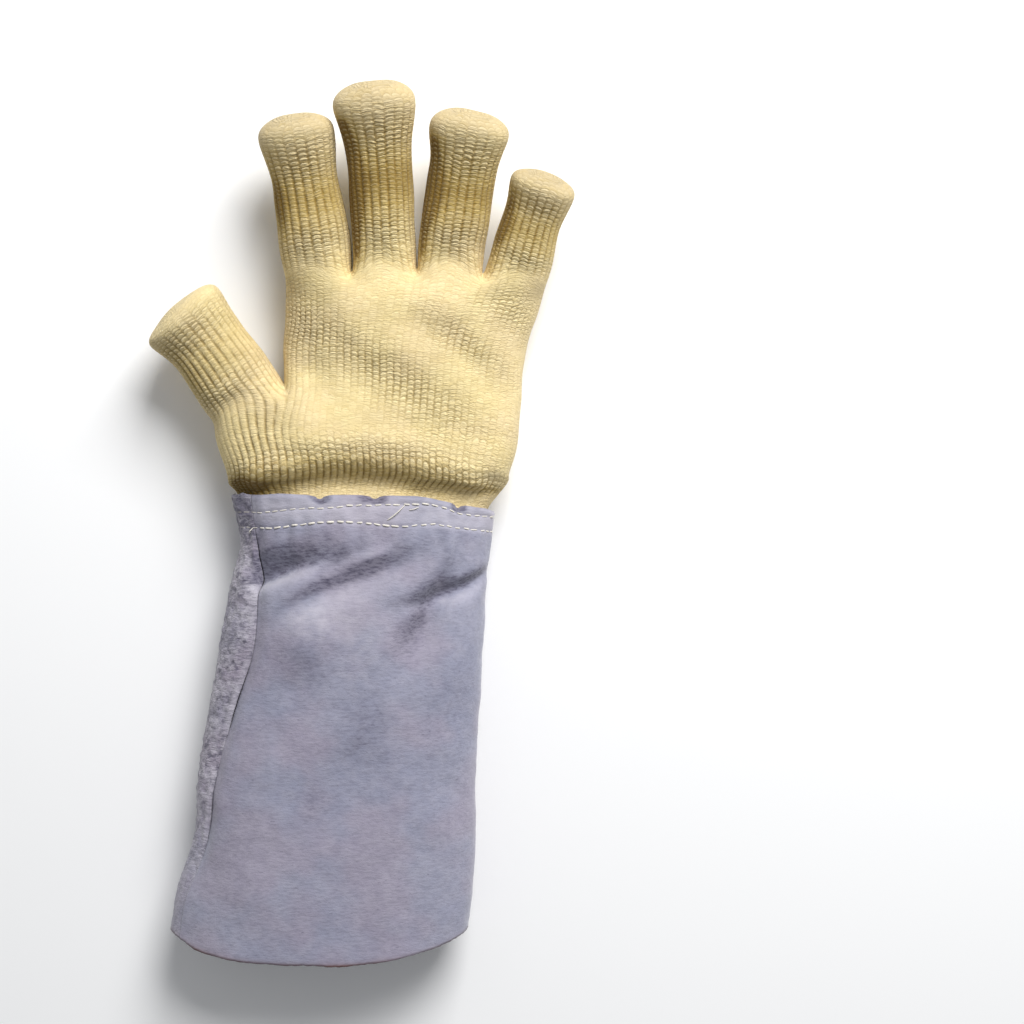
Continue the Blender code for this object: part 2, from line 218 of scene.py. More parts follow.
# %% Sizes of the cuff
CUFF_LENGTH = 0.223
CUFF_TOP_WIDTH = 0.129
CUFF_TOP_DEPTH = 0.047
CUFF_HEM_WIDTH = 0.145
CUFF_HEM_DEPTH = 0.052
CUFF_LEAN = 6.0
HEM_BOW = 0.012
TOP_EDGE_DROOP = 0.008
LEATHER_THICKNESS = 0.0018
SEAM_VALLEY_DEPTH = 0.0022
SEAM_VALLEY_WIDTH = 0.009
KNIT_VALLEY_WIDTH = 0.026
STITCHED_BAND = 0.020
STITCHED_VALLEY_LOSS = 0.6
FLATTENED_DEPTH = 0.0030
SECTION_SQUARENESS = 2.3
WRIST_Y = CUFF_LENGTH / 2


def table(fields, *rows):
    """Rows of numbers whose columns have names."""
    kind = namedtuple("Line", fields)
    return [kind(*row) for row in rows]


# Place along the cuff, how far its width has gone from the top's to the hem's, and how far its middle strays from
# its straight lean, as a share of CUFF_TOP_WIDTH.
CUFF_GIRTHS = table(
    "along swell sway",
    (0.00, 0.05, -0.020),
    (0.10, -0.45, 0.010),
    (0.20, -0.22, 0.000),
    (0.40, 0.10, 0.000),
    (0.64, 0.44, 0.000),
    (0.77, 0.54, 0.018),
    (0.93, 1.00, 0.000),
    (1.00, 1.05, 0.000),
)

# Each dent: middle in degrees round the cuff and as a share of its length, half-sizes in the same units, slant in
# degrees round per whole length, and depth as a share of CUFF_TOP_DEPTH (negative stands out).
CUFF_DENTS = table(
    "turn along half_turn half_along slant depth",
    (127.0, 0.170, 12.0, 0.032, 400.0, 0.110),
    (130.0, 0.150, 18.0, 0.036, 300.0, 0.085),
    (112.0, 0.205, 9.0, 0.050, 194.0, -0.030),
    (91.5, 0.190, 12.0, 0.055, 300.0, 0.065),
    (97.0, 0.150, 6.0, 0.030, 144.0, 0.035),
    (87.0, 0.133, 5.0, 0.016, 200.0, -0.015),
    (37.0, 0.196, 14.0, 0.038, 560.0, 0.100),
    (58.0, 0.270, 8.5, 0.100, 100.0, 0.115),
    (103.0, 0.295, 18.0, 0.075, 0.0, -0.070),
    (40.0, 0.360, 16.0, 0.140, 60.0, -0.030),
    (84.0, 0.600, 15.0, 0.140, 60.0, 0.035),
    (120.0, 0.750, 18.0, 0.180, -30.0, -0.030),
)

# The palm panel's folds run out this many degrees past the thumb-side seam.
DENTS_END_AFTER = 12.0

# Where the seams between the panels run, in degrees round the cuff on the thumb side and on the little-finger
# side, and between which shares of the cuff's length the valley at each seam flattens out.
SEAM_TURNS = table(
    "along thumb little",
    (0.00, 143.0, -14.0),
    (0.08, 148.0, -14.0),
    (0.20, 137.0, -13.0),
    (0.32, 133.0, -13.0),
    (0.46, 140.0, -12.0),
    (0.62, 147.0, -12.0),
    (0.80, 153.0, -11.0),
    (1.00, 155.0, -10.0),
)
VALLEY_RUNS_OUT = (0.70, 0.92)
print("folds and bulges of the cuff:", len(CUFF_DENTS))

# %% [markdown]
# ### Small tools for many points
# Every form here is worked out for whole arrays of points at once. The tools blend between two values, ease from
# 0 to 1, rise and fall round a middle, and draw a smooth curve through the rows of a table.


# %% Small tools for many points
def blend(start, end, share):
    return start + (end - start) * share


def eased(share):
    """A soft step from 0 to 1."""
    share = np.clip(share, 0, 1)
    return share * share * (3 - 2 * share)


def bump_at(value, middle, half):
    """1 at the middle, falling off softly to both sides."""
    return np.exp(-(((value - middle) / half) ** 2))


def spot_at(turn, along, spot):
    """1 at the middle of a slanted spot on the cuff, falling off softly all round."""
    off_turn = (turn - spot.turn - spot.slant * (along - spot.along)) / spot.half_turn
    return np.exp(-(off_turn**2) - ((along - spot.along) / spot.half_along) ** 2)


def wrapped(turn):
    """The same turn, counted from -90 to 270 degrees."""
    return (np.asarray(turn, float) + 90) % 360 - 90


def unit(vectors):
    return vectors / np.linalg.norm(vectors, axis=-1, keepdims=True)


def smooth_through(rows, at):
    """A table's later columns at values of its first, on a smooth curve through its rows."""
    rows = np.array(rows)
    at = np.asarray(at, float)
    slopes = np.gradient(rows[:, 1:], rows[:, 0], axis=0)
    place = np.clip(np.searchsorted(rows[:, 0], at) - 1, 0, len(rows) - 2)
    span = rows[place + 1, 0] - rows[place, 0]
    t = np.clip((at - rows[place, 0]) / span, 0, 1)[..., None]
    level = (2 * t**3 - 3 * t**2 + 1) * rows[place, 1:] + (3 * t**2 - 2 * t**3) * rows[place + 1, 1:]
    tilt = (t**3 - 2 * t**2 + t) * slopes[place] + (t**3 - t**2) * slopes[place + 1]
    return level + span[..., None] * tilt


half_way = blend(CUFF_TOP_WIDTH, CUFF_HEM_WIDTH, smooth_through(CUFF_GIRTHS, 0.5)[0])
print("width halfway down the cuff in mm:", round(1000 * half_way, 1))

# %% [markdown]
# ### A point of the cuff
# The cross-section is a rounded square pressed flat, a little wider towards the hem. Its underside lies on the
# floor. Relief stands out along the surface's own direction, and `inset` gives a surface further in, such as the
# knit inside.


# %% A point of the cuff
def rounded_square(turn):
    """Across and up, from -1 to 1, on a section whose corners are rounded."""
    angle = np.radians(turn)
    power = 2 / SECTION_SQUARENESS
    c = np.cos(angle)
    s = np.sin(angle)
    return np.copysign(np.abs(c) ** power, c), np.copysign(np.abs(s) ** power, s)


def turn_at(share, on_palm):
    """The turn of a point at a share of the section's width."""
    across = 2 * share - 1
    turn = math.degrees(math.acos(math.copysign(abs(across) ** (SECTION_SQUARENESS / 2), across)))
    return turn if on_palm else 360 - turn


def cuff_section(turn, along):
    """A point of the plain cuff, without folds. The hem bows round the arm and the top edge droops on one side."""
    across, up = rounded_square(turn)
    swell, sway = np.moveaxis(smooth_through(CUFF_GIRTHS, along), -1, 0)
    width = blend(CUFF_TOP_WIDTH, CUFF_HEM_WIDTH, swell)
    depth = blend(CUFF_TOP_DEPTH, CUFF_HEM_DEPTH, along) + FLATTENED_DEPTH
    reach = along * CUFF_LENGTH
    x = across * width / 2 + sway * CUFF_TOP_WIDTH - reach * math.tan(math.radians(CUFF_LEAN))
    y = WRIST_Y - reach + HEM_BOW * along**3 * np.abs(across) ** 3
    y = y - TOP_EDGE_DROOP * (1 - along) ** 6 * np.maximum(across, 0) ** 2
    z = (up + 1) * depth / 2 - FLATTENED_DEPTH
    return np.stack(np.broadcast_arrays(x, y, z), axis=-1)


def outward(turn, along):
    """The direction straight out of the cuff, from neighbours a small step away on either side."""
    step = 0.5
    reach = 0.004
    round_cuff = cuff_section(turn + step, along) - cuff_section(turn - step, along)
    down_cuff = cuff_section(turn, along + reach) - cuff_section(turn, along - reach)
    return unit(np.cross(round_cuff, down_cuff))


def dents_at(turn, along):
    """How far the folds and bulges push the leather out. They end past the thumb-side seam."""
    relief = 0.0
    for dent in CUFF_DENTS:
        relief = relief - dent.depth * CUFF_TOP_DEPTH * spot_at(turn, along, dent)
    past_seam = turn - smooth_through(SEAM_TURNS, along)[..., 0]
    return relief * (1 - eased(past_seam / DENTS_END_AFTER))


def valley_left(along):
    """How much of the seams' valleys is left at a place along the cuff."""
    start, end = VALLEY_RUNS_OUT
    return 1 - eased((along - start) / (end - start))


def cuff_relief(turn, along, valley_width):
    """How far the leather stands out of its plain form, from its folds and the valleys along its seams."""
    relief = dents_at(turn, along)
    depth = SEAM_VALLEY_DEPTH * (1 - STITCHED_VALLEY_LOSS * bump_at(along * CUFF_LENGTH, 0, STITCHED_BAND))
    depth = depth * valley_left(along)
    seams = smooth_through(SEAM_TURNS, along)
    for side in range(2):
        away = cuff_section(turn, along) - cuff_section(seams[..., side], along)
        relief = relief - depth * bump_at(np.linalg.norm(away, axis=-1), 0, valley_width / 2)
    return relief


def cuff_point(turn, along, inset=0.0, valley_width=SEAM_VALLEY_WIDTH):
    """A point of the cuff's outer face, or inset below it, pressed flat where it rests on the floor."""
    turn = wrapped(turn)
    along = np.asarray(along, float)
    relief = cuff_relief(turn, along, valley_width)
    point = cuff_section(turn, along) + outward(turn, along) * (relief - inset)[..., None]
    point[..., 2] = np.maximum(point[..., 2], inset)
    return point


print("cuff top edge, palm middle, in mm:", (1000 * cuff_point(90.0, 0.0)).round(1))

# %% [markdown]
# ## The hand's form
# The knit hand is rounded off from a coarse cage of quads, as a sock is shaped by a few rounds of stitches. The
# cage runs in rings: eight points round each finger, twenty round the palm and twenty-four round the heel, where
# the thumb joins. Each quad also remembers its stitches: which rib (wale) and which round (course) it starts at.
# So the ribs later run on from finger to palm.

# %% Sizes of the hand
PALM_LENGTH = 0.110
PALM_WIDTH = 0.116
PALM_DEPTH = 0.046
FINGER_LENGTH = 0.088
FINGER_WIDTH = 0.0335
FINGER_DEPTH = 0.030
KNIT_THICKNESS = 0.0030
TUCKED_LENGTH = 0.024
NECK_ABOVE_CUFF = 0.0013
WEB_DROP = 0.006
BACK_CLEARANCE = 0.0011
KNIT_TO_LEATHER_GAP = 0.0009

# Each digit: root's place as shares of PALM_WIDTH from the hand's middle line and of PALM_LENGTH from the wrist,
# root's height as a share of PALM_DEPTH, length, width and depth as shares of the finger sizes, width over the
# base and over the tip's bulge as shares of the digit's own width, splay in degrees, sideways bow and lift of the
# tip as shares of the digit's own length, and how many rounds of stitches lie between two rings of its cage.
DIGIT_ROWS = table(
    "name across up height length width depth base tip splay bow lift courses",
    ("little", 0.627, 0.966, 0.52, 0.572, 0.89, 0.90, 1.05, 1.08, 13.5, 0.060, 0.24, (3, 5, 5, 4, 3, 2, 2)),
    ("ring", 0.344, 1.010, 0.53, 0.835, 1.00, 1.00, 0.98, 1.15, 6.5, 0.050, 0.24, (5, 7, 7, 6, 5, 3, 2)),
    ("middle", 0.074, 1.007, 0.54, 0.982, 0.97, 1.02, 0.95, 1.21, -2.0, -0.020, 0.24, (5, 8, 8, 7, 6, 3, 2)),
    ("index", -0.203, 0.988, 0.54, 0.838, 1.00, 1.00, 1.03, 1.11, -7.5, -0.020, 0.24, (5, 7, 7, 6, 5, 3, 2)),
    ("thumb", -0.500, 0.408, 0.54, 0.655, 1.19, 1.12, 1.00, 1.09, -31.0, -0.100, 0.16, (4, 5, 5, 4, 4, 3, 2)),
)
DIGITS = {digit.name: digit for digit in DIGIT_ROWS}
FINGERS = ("little", "ring", "middle", "index")

# The digit's rings from just above the web to the shoulder of the tip: place along the digit, how much they take
# of the base's width and of the tip's, and width and depth shares.
DIGIT_ROUNDS = table(
    "along base tip width depth",
    (0.14, 1.0, 0.00, 1.00, 1.02),
    (0.34, 0.6, 0.00, 1.00, 1.00),
    (0.55, 0.0, 0.00, 0.97, 0.96),
    (0.72, 0.0, 0.25, 0.98, 0.95),
    (0.87, 0.0, 1.00, 1.00, 1.03),
    (0.945, 0.0, 1.00, 0.90, 0.88),
    (0.985, 0.0, 1.00, 0.58, 0.56),
)

# The palm from below the fingers to the thumb's web, then the heel: height from the wrist as a share of
# PALM_LENGTH, thumb-side and little-finger-side edges as shares of PALM_WIDTH, height of the palm face as a share
# of PALM_DEPTH, how far the row arches down to its sides, and how many rounds of stitches lie above it.
PALM_FIELDS = "up left right face arch courses"
UPPER_ROWS = table(
    PALM_FIELDS,
    (0.865, -0.352, 0.733, 0.96, 0.0, 7),
    (0.745, -0.357, 0.695, 1.00, 0.0, 6),
    (0.620, -0.361, 0.665, 1.02, 0.0, 6),
    (0.465, -0.350, 0.648, 1.04, 0.0, 8),
)
LOWER_ROWS = table(
    PALM_FIELDS,
    (0.300, -0.638, 0.634, 1.10, 0.065, 8),
    (0.172, -0.593, 0.600, 1.11, 0.075, 5),
    (0.088, -0.589, 0.588, 0.97, 0.040, 3),
)

# The web between thumb and palm: its height from the wrist. Then the way from its middle to its palm side and to
# its back side: towards the little finger and the wrist as shares of PALM_WIDTH, and up as a share of PALM_DEPTH.
THUMB_WEB_UP = 0.500
THUMB_WEB_SLOPES = ((0.030, 0.075, 0.43), (0.030, 0.075, -0.42))

# How far both ends of a finger web stand from its middle, as a share of the finger's depth.
WEB_HALF_DEPTH = 0.40

# Where the knit's columns stand across the heel, from the thumb side, as shares of its width, and where the
# outermost column stands between the hand's edge and the first finger's middle.
HEEL_COLUMNS = (0.035, 0.125, 0.235, 0.335, 0.430, 0.520, 0.610, 0.700, 0.790, 0.880, 0.965)
EDGE_COLUMN = 0.35

# The knit's last rings, from its neck above the cuff to its end inside, as shares of the way, and the rounds of
# stitches above each. Then the rounds over a fingertip, and how many ribs one quad of the cage carries.
TUCKED_RINGS = (0.0, 0.4, 1.0)
TUCKED_COURSES = (4, 2, 2)
CAP_COURSES = 3
FINGER_WALES = 3
PALM_WALES = 4
print("digits:", ", ".join(DIGITS), "with", len(DIGIT_ROUNDS), "rings each")

# %% [markdown]
# ### The cage
# A ring of points is added at a time, and a tube of quads joins it to the ring before. The cage class also knows
# what rounding does to its points, so it can swell its own points until the rounded surface passes through the
# wanted ones.

# %% The cage of the hand
Weave = namedtuple("Weave", "region start end wale wales course courses")


class Cage:
    """Quads that are rounded off, laid as rings of points, each with the stitches that it carries."""

    def __init__(self):
        self.points = []
        self.quads = []
        self.weaves = []

    def point(self, place):
        self.points.append(np.array(place, float))
        return len(self.points) - 1

    def ring(self, places):
        return [self.point(place) for place in places]

    def tube(self, near, far, region, start, end, wales, course, courses):
        """Quads from a ring to the next, which reach from start to end of their region."""
        for k in range(len(near)):
            after = (k + 1) % len(near)
            self.quads.append((near[k], far[k], far[after], near[after]))
            self.weaves.append(Weave(region, start, end, wales * k, wales, course, courses))

    def cap(self, ring, tip, region, start, wales, course):
        for k in range(0, len(ring), 2):
            self.quads.append((ring[k], tip, ring[(k + 2) % len(ring)], ring[k + 1]))
            self.weaves.append(Weave("tip of " + region, start, 1.0, wales * k, wales, course, CAP_COURSES))

    def rounded(self, rim):
        """Where rounding off takes each point, with the points of the open rim moving along the rim only."""
        points = np.array(self.points)
        quads = np.array(self.quads)
        near = np.zeros_like(points)
        far = np.zeros_like(points)
        count = np.zeros((len(points), 1))
        for corner in range(4):
            here = quads[:, corner]
            beside = points[quads[:, corner - 1]] + points[quads[:, (corner + 1) % 4]]
            np.add.at(count, here, 1)
            np.add.at(near, here, beside / 2)
            np.add.at(far, here, points[quads[:, (corner + 2) % 4]])
        placed = (count**2 * points + 4 * near + far) / (count * (count + 5))
        edge = points[rim]
        placed[rim] = (4 * edge + np.roll(edge, 1, axis=0) + np.roll(edge, -1, axis=0)) / 6
        return placed

    def swell(self, rim, rounds=60):
        """Moves the points outwards until the rounded surface passes where they stood."""
        wanted = np.array(self.points)
        for _ in range(rounds):
            self.points = list(np.array(self.points) + wanted - self.rounded(rim))


print("each quad of the cage carries:", ", ".join(Weave._fields))

# %% [markdown]
# ### Fingers and thumb
# A finger is a tube along a line that bends a little sideways and lifts off the floor. Its rings widen over the
# base and the tip's bulge. Neighbouring fingers share three points of the web between them.

# %% Fingers and thumb
def digit_root(digit):
    """Middle of the digit's root."""
    return np.array((digit.across * PALM_WIDTH, WRIST_Y + digit.up * PALM_LENGTH, digit.height * PALM_DEPTH))


def digit_frame(digit, along):
    """Middle of the digit at a share of its length, with its sideways and palmward directions there."""
    splay = math.radians(digit.splay)
    forward = np.array((math.sin(splay), math.cos(splay), 0.0))
    aside = np.array((math.cos(splay), -math.sin(splay), 0.0))
    upward = np.array((0.0, 0.0, 1.0))
    length = digit.length * FINGER_LENGTH
    middle = digit_root(digit) + length * (along * forward + along**2 * (digit.bow * aside + digit.lift * upward))
    heading = unit(forward + 2 * along * (digit.bow * aside + digit.lift * upward))
    side = unit(np.cross(heading, upward))
    return middle, side, np.cross(side, heading)


def digit_point(digit, along, turn, width_share=1.0, depth_share=1.0):
    middle, side, palmward = digit_frame(digit, along)
    across, up = rounded_square(turn)
    width = digit.width * FINGER_WIDTH * width_share
    depth = digit.depth * FINGER_DEPTH * depth_share
    return middle + side * across * width / 2 + palmward * up * depth / 2


def grow_digit(cage, name, base, wales):
    """Runs the digit's tube from its base ring to a closed tip."""
    digit = DIGITS[name]
    ring = base
    start = 0.0
    course = 0
    for step, courses in zip(DIGIT_ROUNDS, digit.courses):
        width = step.width * blend(blend(1.0, digit.base, step.base), digit.tip, step.tip)
        upper = cage.ring(digit_point(digit, step.along, turn, width, step.depth) for turn in range(0, 360, 45))
        cage.tube(ring, upper, name, start, step.along, wales, course, courses)
        ring = upper
        start = step.along
        course += courses
    cage.cap(ring, cage.point(digit_frame(digit, 1.0)[0]), name, start, wales, course)


def web_places(one, other):
    """Palm-side, middle and back-side places of the web between two neighbouring fingers."""
    middle = (digit_root(one) + digit_root(other)) / 2
    depth = (one.depth + other.depth) / 2 * FINGER_DEPTH
    drop = np.array((0.0, -WEB_DROP, 0.0))
    rise = np.array((0.0, 0.0, depth * WEB_HALF_DEPTH))
    return middle + drop + rise, middle, middle + drop - rise


for digit in DIGITS.values():
    print(digit.name, "root and tip in mm:", *(1000 * digit_frame(digit, end)[0].round(4) for end in (0.0, 1.0)))

# %% [markdown]
# ### Palm, heel and neck
# The palm's rings start at the finger webs and close the hand downwards. At the thumb's web the ring opens for
# the thumb, and below it the heel takes in both. The last rings follow the inside of the cuff, where the knit is
# tucked in.

# %% Palm, heel and neck
def column_turns(columns):
    """Turns from the little-finger side over the palm face, round the thumb side and along the back."""
    over_palm = [turn_at(share, True) for share in reversed(columns)]
    over_back = [turn_at(share, False) for share in columns]
    return [0.0] + over_palm + [180.0] + over_back


def hand_section(row, columns):
    """Places of one ring of the palm."""
    left = row.left * PALM_WIDTH
    right = row.right * PALM_WIDTH
    low = BACK_CLEARANCE - FLATTENED_DEPTH
    high = row.face * PALM_DEPTH
    places = []
    for turn in column_turns(columns):
        across, up = rounded_square(turn)
        y = WRIST_Y + (row.up - row.arch * across**2) * PALM_LENGTH
        z = max(blend(low, high, (up + 1) / 2), BACK_CLEARANCE)
        places.append((blend(left, right, (across + 1) / 2), y, z))
    return places


def finger_columns():
    """Where finger webs and finger middles stand across the knuckles, as shares from the thumb side."""
    middles = [digit_root(DIGITS[name])[0] for name in reversed(FINGERS)]
    left = middles[0] - DIGITS["index"].width * FINGER_WIDTH / 2
    right = middles[-1] + DIGITS["little"].width * FINGER_WIDTH / 2
    stops = [middles[0]]
    for before, after in zip(middles, middles[1:]):
        stops += [(before + after) / 2, after]
    shares = [(stop - left) / (right - left) for stop in stops]
    return [shares[0] * EDGE_COLUMN] + shares + [1 - (1 - shares[-1]) * EDGE_COLUMN]


def upper_columns(up):
    """The columns at a height of the palm. They spread evenly towards the thumb's web."""
    even = np.linspace(HEEL_COLUMNS[0], HEEL_COLUMNS[-1], 2 * len(FINGERS) + 1)
    return list(blend(np.array(finger_columns()), even, (1.0 - up) / (1.0 - UPPER_ROWS[-1].up)))


def knuckle_ring(cage):
    """Starts the four fingers and gives back the ring of points where they meet the palm."""
    webs = [cage.ring(web_places(DIGITS[one], DIGITS[other])) for one, other in zip(FINGERS, FINGERS[1:])]
    palm_side = []
    back_side = []
    last = len(FINGERS) - 1
    for number, name in enumerate(FINGERS):
        digit = DIGITS[name]
        own = {turn: cage.point(digit_point(digit, 0.0, turn)) for turn in (90, 270)}
        if number == 0:
            outer = cage.ring(digit_point(digit, 0.0, turn) for turn in (45, 0, 315))
            side_start = outer[1]
        if number == last:
            outer = cage.ring(digit_point(digit, 0.0, turn) for turn in (135, 180, 225))
        right = outer if number == 0 else webs[number - 1]
        left = outer if number == last else webs[number]
        base = [right[1], right[0], own[90], left[0], left[1], left[2], own[270], right[2]]
        grow_digit(cage, name, base, FINGER_WALES)
        palm_side += [right[0], own[90]]
        back_side += [right[2], own[270]]
    return [side_start] + palm_side + outer + back_side[::-1]


def open_for_thumb(cage, ring):
    """Shapes the web between thumb and palm, grows the thumb and gives back the ring round both."""
    half = len(ring) // 2
    before, web, after = ring[half - 1 : half + 2]
    middle = np.array((UPPER_ROWS[-1].left * PALM_WIDTH, WRIST_Y + THUMB_WEB_UP * PALM_LENGTH, PALM_DEPTH / 2))
    cage.points[web] = middle
    for corner, (across, down, rise) in zip((before, after), THUMB_WEB_SLOPES):
        cage.points[corner] = middle + np.array((across * PALM_WIDTH, -down * PALM_WIDTH, rise * PALM_DEPTH))
    outside = cage.ring(digit_point(DIGITS["thumb"], 0.0, turn) for turn in range(90, 271, 45))
    grow_digit(cage, "thumb", [web, before] + outside + [after], PALM_WALES)
    return ring[:half] + outside + ring[half + 1 :]


def hand_cage():
    """The whole cage, from the fingers down to the knit's end inside the cuff."""
    cage = Cage()
    ring = knuckle_ring(cage)
    up = 1.0
    course = 0

    def knit_down(places, region, to, courses):
        nonlocal ring, up, course
        lower = cage.ring(places)
        course -= courses
        cage.tube(lower, ring, region, to, up, PALM_WALES, course, courses)
        ring = lower
        up = to

    for row in UPPER_ROWS:
        knit_down(hand_section(row, upper_columns(row.up)), "palm", row.up, row.courses)

    ring = open_for_thumb(cage, ring)
    for row in LOWER_ROWS:
        knit_down(hand_section(row, HEEL_COLUMNS), "heel", row.up, row.courses)

    inset = LEATHER_THICKNESS + KNIT_TO_LEATHER_GAP
    turns = np.array(column_turns(HEEL_COLUMNS))
    for share, courses in zip(TUCKED_RINGS, TUCKED_COURSES):
        reach = blend(-NECK_ABOVE_CUFF, TUCKED_LENGTH, share)
        inside = cuff_point(turns, np.full(len(turns), reach / CUFF_LENGTH), inset, KNIT_VALLEY_WIDTH)
        knit_down(inside, "tucked", -reach / PALM_LENGTH, courses)
    cage.swell(ring)
    return cage


cage = hand_cage()
print("cage of the hand:", len(cage.points), "points,", len(cage.quads), "quads")

# %% [markdown]
# ## Stitches laid on the hand
# Subdivision Surface rounds the cage off. Each cage quad is then read back as a fine grid of places and
# directions, and the knit is laid over it stitch by stitch: three or four points across each rib and three up
# each round. Ribs and rounds are real relief, so they also show along the edges of the fingers.

# %% Rounded patches of the cage
PATCH_LEVEL = 4
PATCH_STEPS = 2**PATCH_LEVEL
CORNERS = ((0.0, 0.0), (0.0, 1.0), (1.0, 1.0), (1.0, 0.0))


def read_all(items, field, width, kind=np.float32):
    """One field of all points or corners of a mesh, a row for each."""
    values = np.empty(len(items) * width, kind)
    items.foreach_get(field, values)
    return values.reshape(-1, width)


def rounded_patches(cage):
    """Places and outward directions on a grid of each quad: axes are quad, across, along, coordinate.

    Each quad gets a square of its own in the UV map, two units from the next, so that its fine points can be found.
    """
    mesh = bpy.data.meshes.new("cage")
    mesh.from_pydata([tuple(p) for p in cage.points], [], cage.quads)
    mesh.shade_smooth()
    own = mesh.uv_layers.new(name="own")
    for number in range(len(cage.quads)):
        for corner in range(4):
            across, along = CORNERS[corner]
            own.data[4 * number + corner].uv = (across + 2 * number, along)
    form = bpy.data.objects.new("cage", mesh)
    bpy.context.scene.collection.objects.link(form)
    smooth = form.modifiers.new("Round off", "SUBSURF")
    smooth.levels = PATCH_LEVEL
    smooth.uv_smooth = "NONE"
    fine = form.evaluated_get(bpy.context.evaluated_depsgraph_get()).to_mesh()
    corners = read_all(fine.loops, "vertex_index", 1, np.int32)[:, 0]
    marks = read_all(fine.uv_layers[0].data, "uv", 2)
    rounding_guard = 0.01
    quad = np.floor(marks[:, 0] / 2 + rounding_guard).astype(int)
    across = np.rint((marks[:, 0] - 2 * quad) * PATCH_STEPS).astype(int)
    along = np.rint(marks[:, 1] * PATCH_STEPS).astype(int)
    grids = []
    for field in ("co", "normal"):
        grid = np.zeros((len(cage.quads), PATCH_STEPS + 1, PATCH_STEPS + 1, 3))
        grid[quad, across, along] = read_all(fine.vertices, field, 3)[corners]
        grids.append(grid)
    bpy.data.objects.remove(form)
    bpy.data.meshes.remove(mesh)
    return grids


places, directions = rounded_patches(cage)
print("patches:", places.shape, "lowest point in mm:", round(1000 * places[..., 2].min(), 2))

# %% [markdown]
# ### Where the knit stands up and where it lies smooth
# The same stitches look different from place to place. Where a finger bends or the knit is pulled in, its ribs
# gape. Below the finger tips and at the heel the rounds stack up like small cushions. Stretched places are nearly
# smooth. Numbers from 0 to 1 say it: `rib`, how deep the grooves between ribs are, `pad`, how far each round
# bulges, `shade`, how much painted shade darkens the knit, and `worn`, how dusty.

# %% Strength of ribs and pads
STRENGTHS = "rib pad shade worn"
# The shade column is painted shade: the middle of each digit rises towards its tip and faces away from the lamp.
DIGIT_STRENGTH = table(
    "along " + STRENGTHS,
    (0.00, 0.20, 0.15, 0.00, 0.0),
    (0.07, 0.60, 0.50, 0.05, 0.0),
    (0.18, 0.90, 0.95, 0.15, 0.0),
    (0.34, 1.00, 0.45, 0.55, 0.0),
    (0.55, 1.00, 0.35, 0.70, 0.0),
    (0.66, 0.95, 0.75, 0.50, 0.0),
    (0.77, 0.85, 1.00, 0.25, 0.1),
    (0.86, 0.42, 0.65, 0.05, 0.4),
    (0.95, 0.08, 0.34, 0.00, 0.9),
    (1.00, 0.00, 0.28, 0.00, 1.0),
)
PALM_STRENGTH = table(
    "along " + STRENGTHS,
    (-0.30, 0.10, 0.05, 0.00, 0.0),
    (-0.02, 0.08, 0.22, 0.00, 0.0),
    (0.05, 0.08, 0.18, 0.00, 0.0),
    (0.12, 0.10, 0.10, 0.00, 0.0),
    (0.20, 0.08, 0.11, 0.00, 0.0),
    (0.29, 0.06, 0.08, 0.00, 0.0),
    (0.38, 0.06, 0.07, 0.00, 0.0),
    (0.80, 0.10, 0.12, 0.00, 0.0),
    (0.90, 0.10, 0.20, 0.00, 0.0),
    (1.00, 0.08, 0.15, 0.00, 0.0),
)

# The flank of each digit that faces its neighbour gets painted shade, the shadow of that neighbour: its middle as a
# share of the way round the digit, its half-width, and how dark it is on each digit. Then how much of the table's
# painted shade each digit takes.
FLANK = (0.400, 0.060)
FLANK_PAINTED_SHADE = {"little": 0.60, "ring": 0.85, "middle": 1.00, "index": 0.30, "thumb": 0.25}
SHADE_SHARE = {"little": 0.85, "ring": 1.10, "middle": 1.15, "index": 1.00, "thumb": 0.35}

# Up the digit, that painted shade comes in over the first eighth and runs out over the tenth before its end.
FLANK_COMES_IN = 0.125
FLANK_ENDS = 0.9
FLANK_RUNS_OUT = 0.1

# Pads and ribs show most on the palm side of a digit: half-widths for pads and for ribs as shares of the way
# round, and what is left of each elsewhere. Then where the middle lies on each digit, and how dusty each tip is.
FACING = (0.13, 0.17, 0.30, 0.45)
FACING_MIDDLE = {"little": 0.24, "ring": 0.24, "middle": 0.24, "index": 0.26, "thumb": 0.34}
TIP_DUST = {"little": 1.0, "ring": 0.9, "middle": 0.9, "index": 0.9, "thumb": 0.15}

# Stretches of the palm face that are creased, so that their stitches stand up more: middle as shares of
# PALM_WIDTH and PALM_LENGTH from the wrist's middle, half-sizes as shares of PALM_WIDTH, slant of the long axis
# in degrees, what is added to ribs and pads, and depth as a share of PALM_DEPTH (negative stands out).
PALM_STRETCHES = table(
    "across up half_long half_wide slant rib pad depth",
    (0.12, 0.50, 0.42, 0.10, -33.0, 0.75, 0.65, 0.045),
    (-0.28, 0.74, 0.18, 0.12, -60.0, 0.55, 0.50, 0.045),
    (0.42, 0.65, 0.20, 0.06, -36.0, 0.60, 0.60, 0.035),
    (0.59, 0.81, 0.13, 0.08, -30.0, 0.40, 0.60, 0.020),
    (-0.44, 0.24, 0.24, 0.13, 75.0, 0.95, 0.00, 0.030),
    (0.16, 0.84, 0.30, 0.09, 0.0, 0.00, 0.00, -0.030),
    (0.16, 0.38, 0.30, 0.12, -15.0, 0.00, 0.00, -0.015),
    (-0.22, 0.42, 0.16, 0.12, 40.0, 0.00, 0.00, -0.040),
)

# Only the palm face has these. It begins at this share of PALM_DEPTH, and higher sharpness hardens its edge.
FACE_FROM = 0.50
FACE_SHARPNESS = 12
print("creased or bulging stretches of the palm:", len(PALM_STRETCHES))
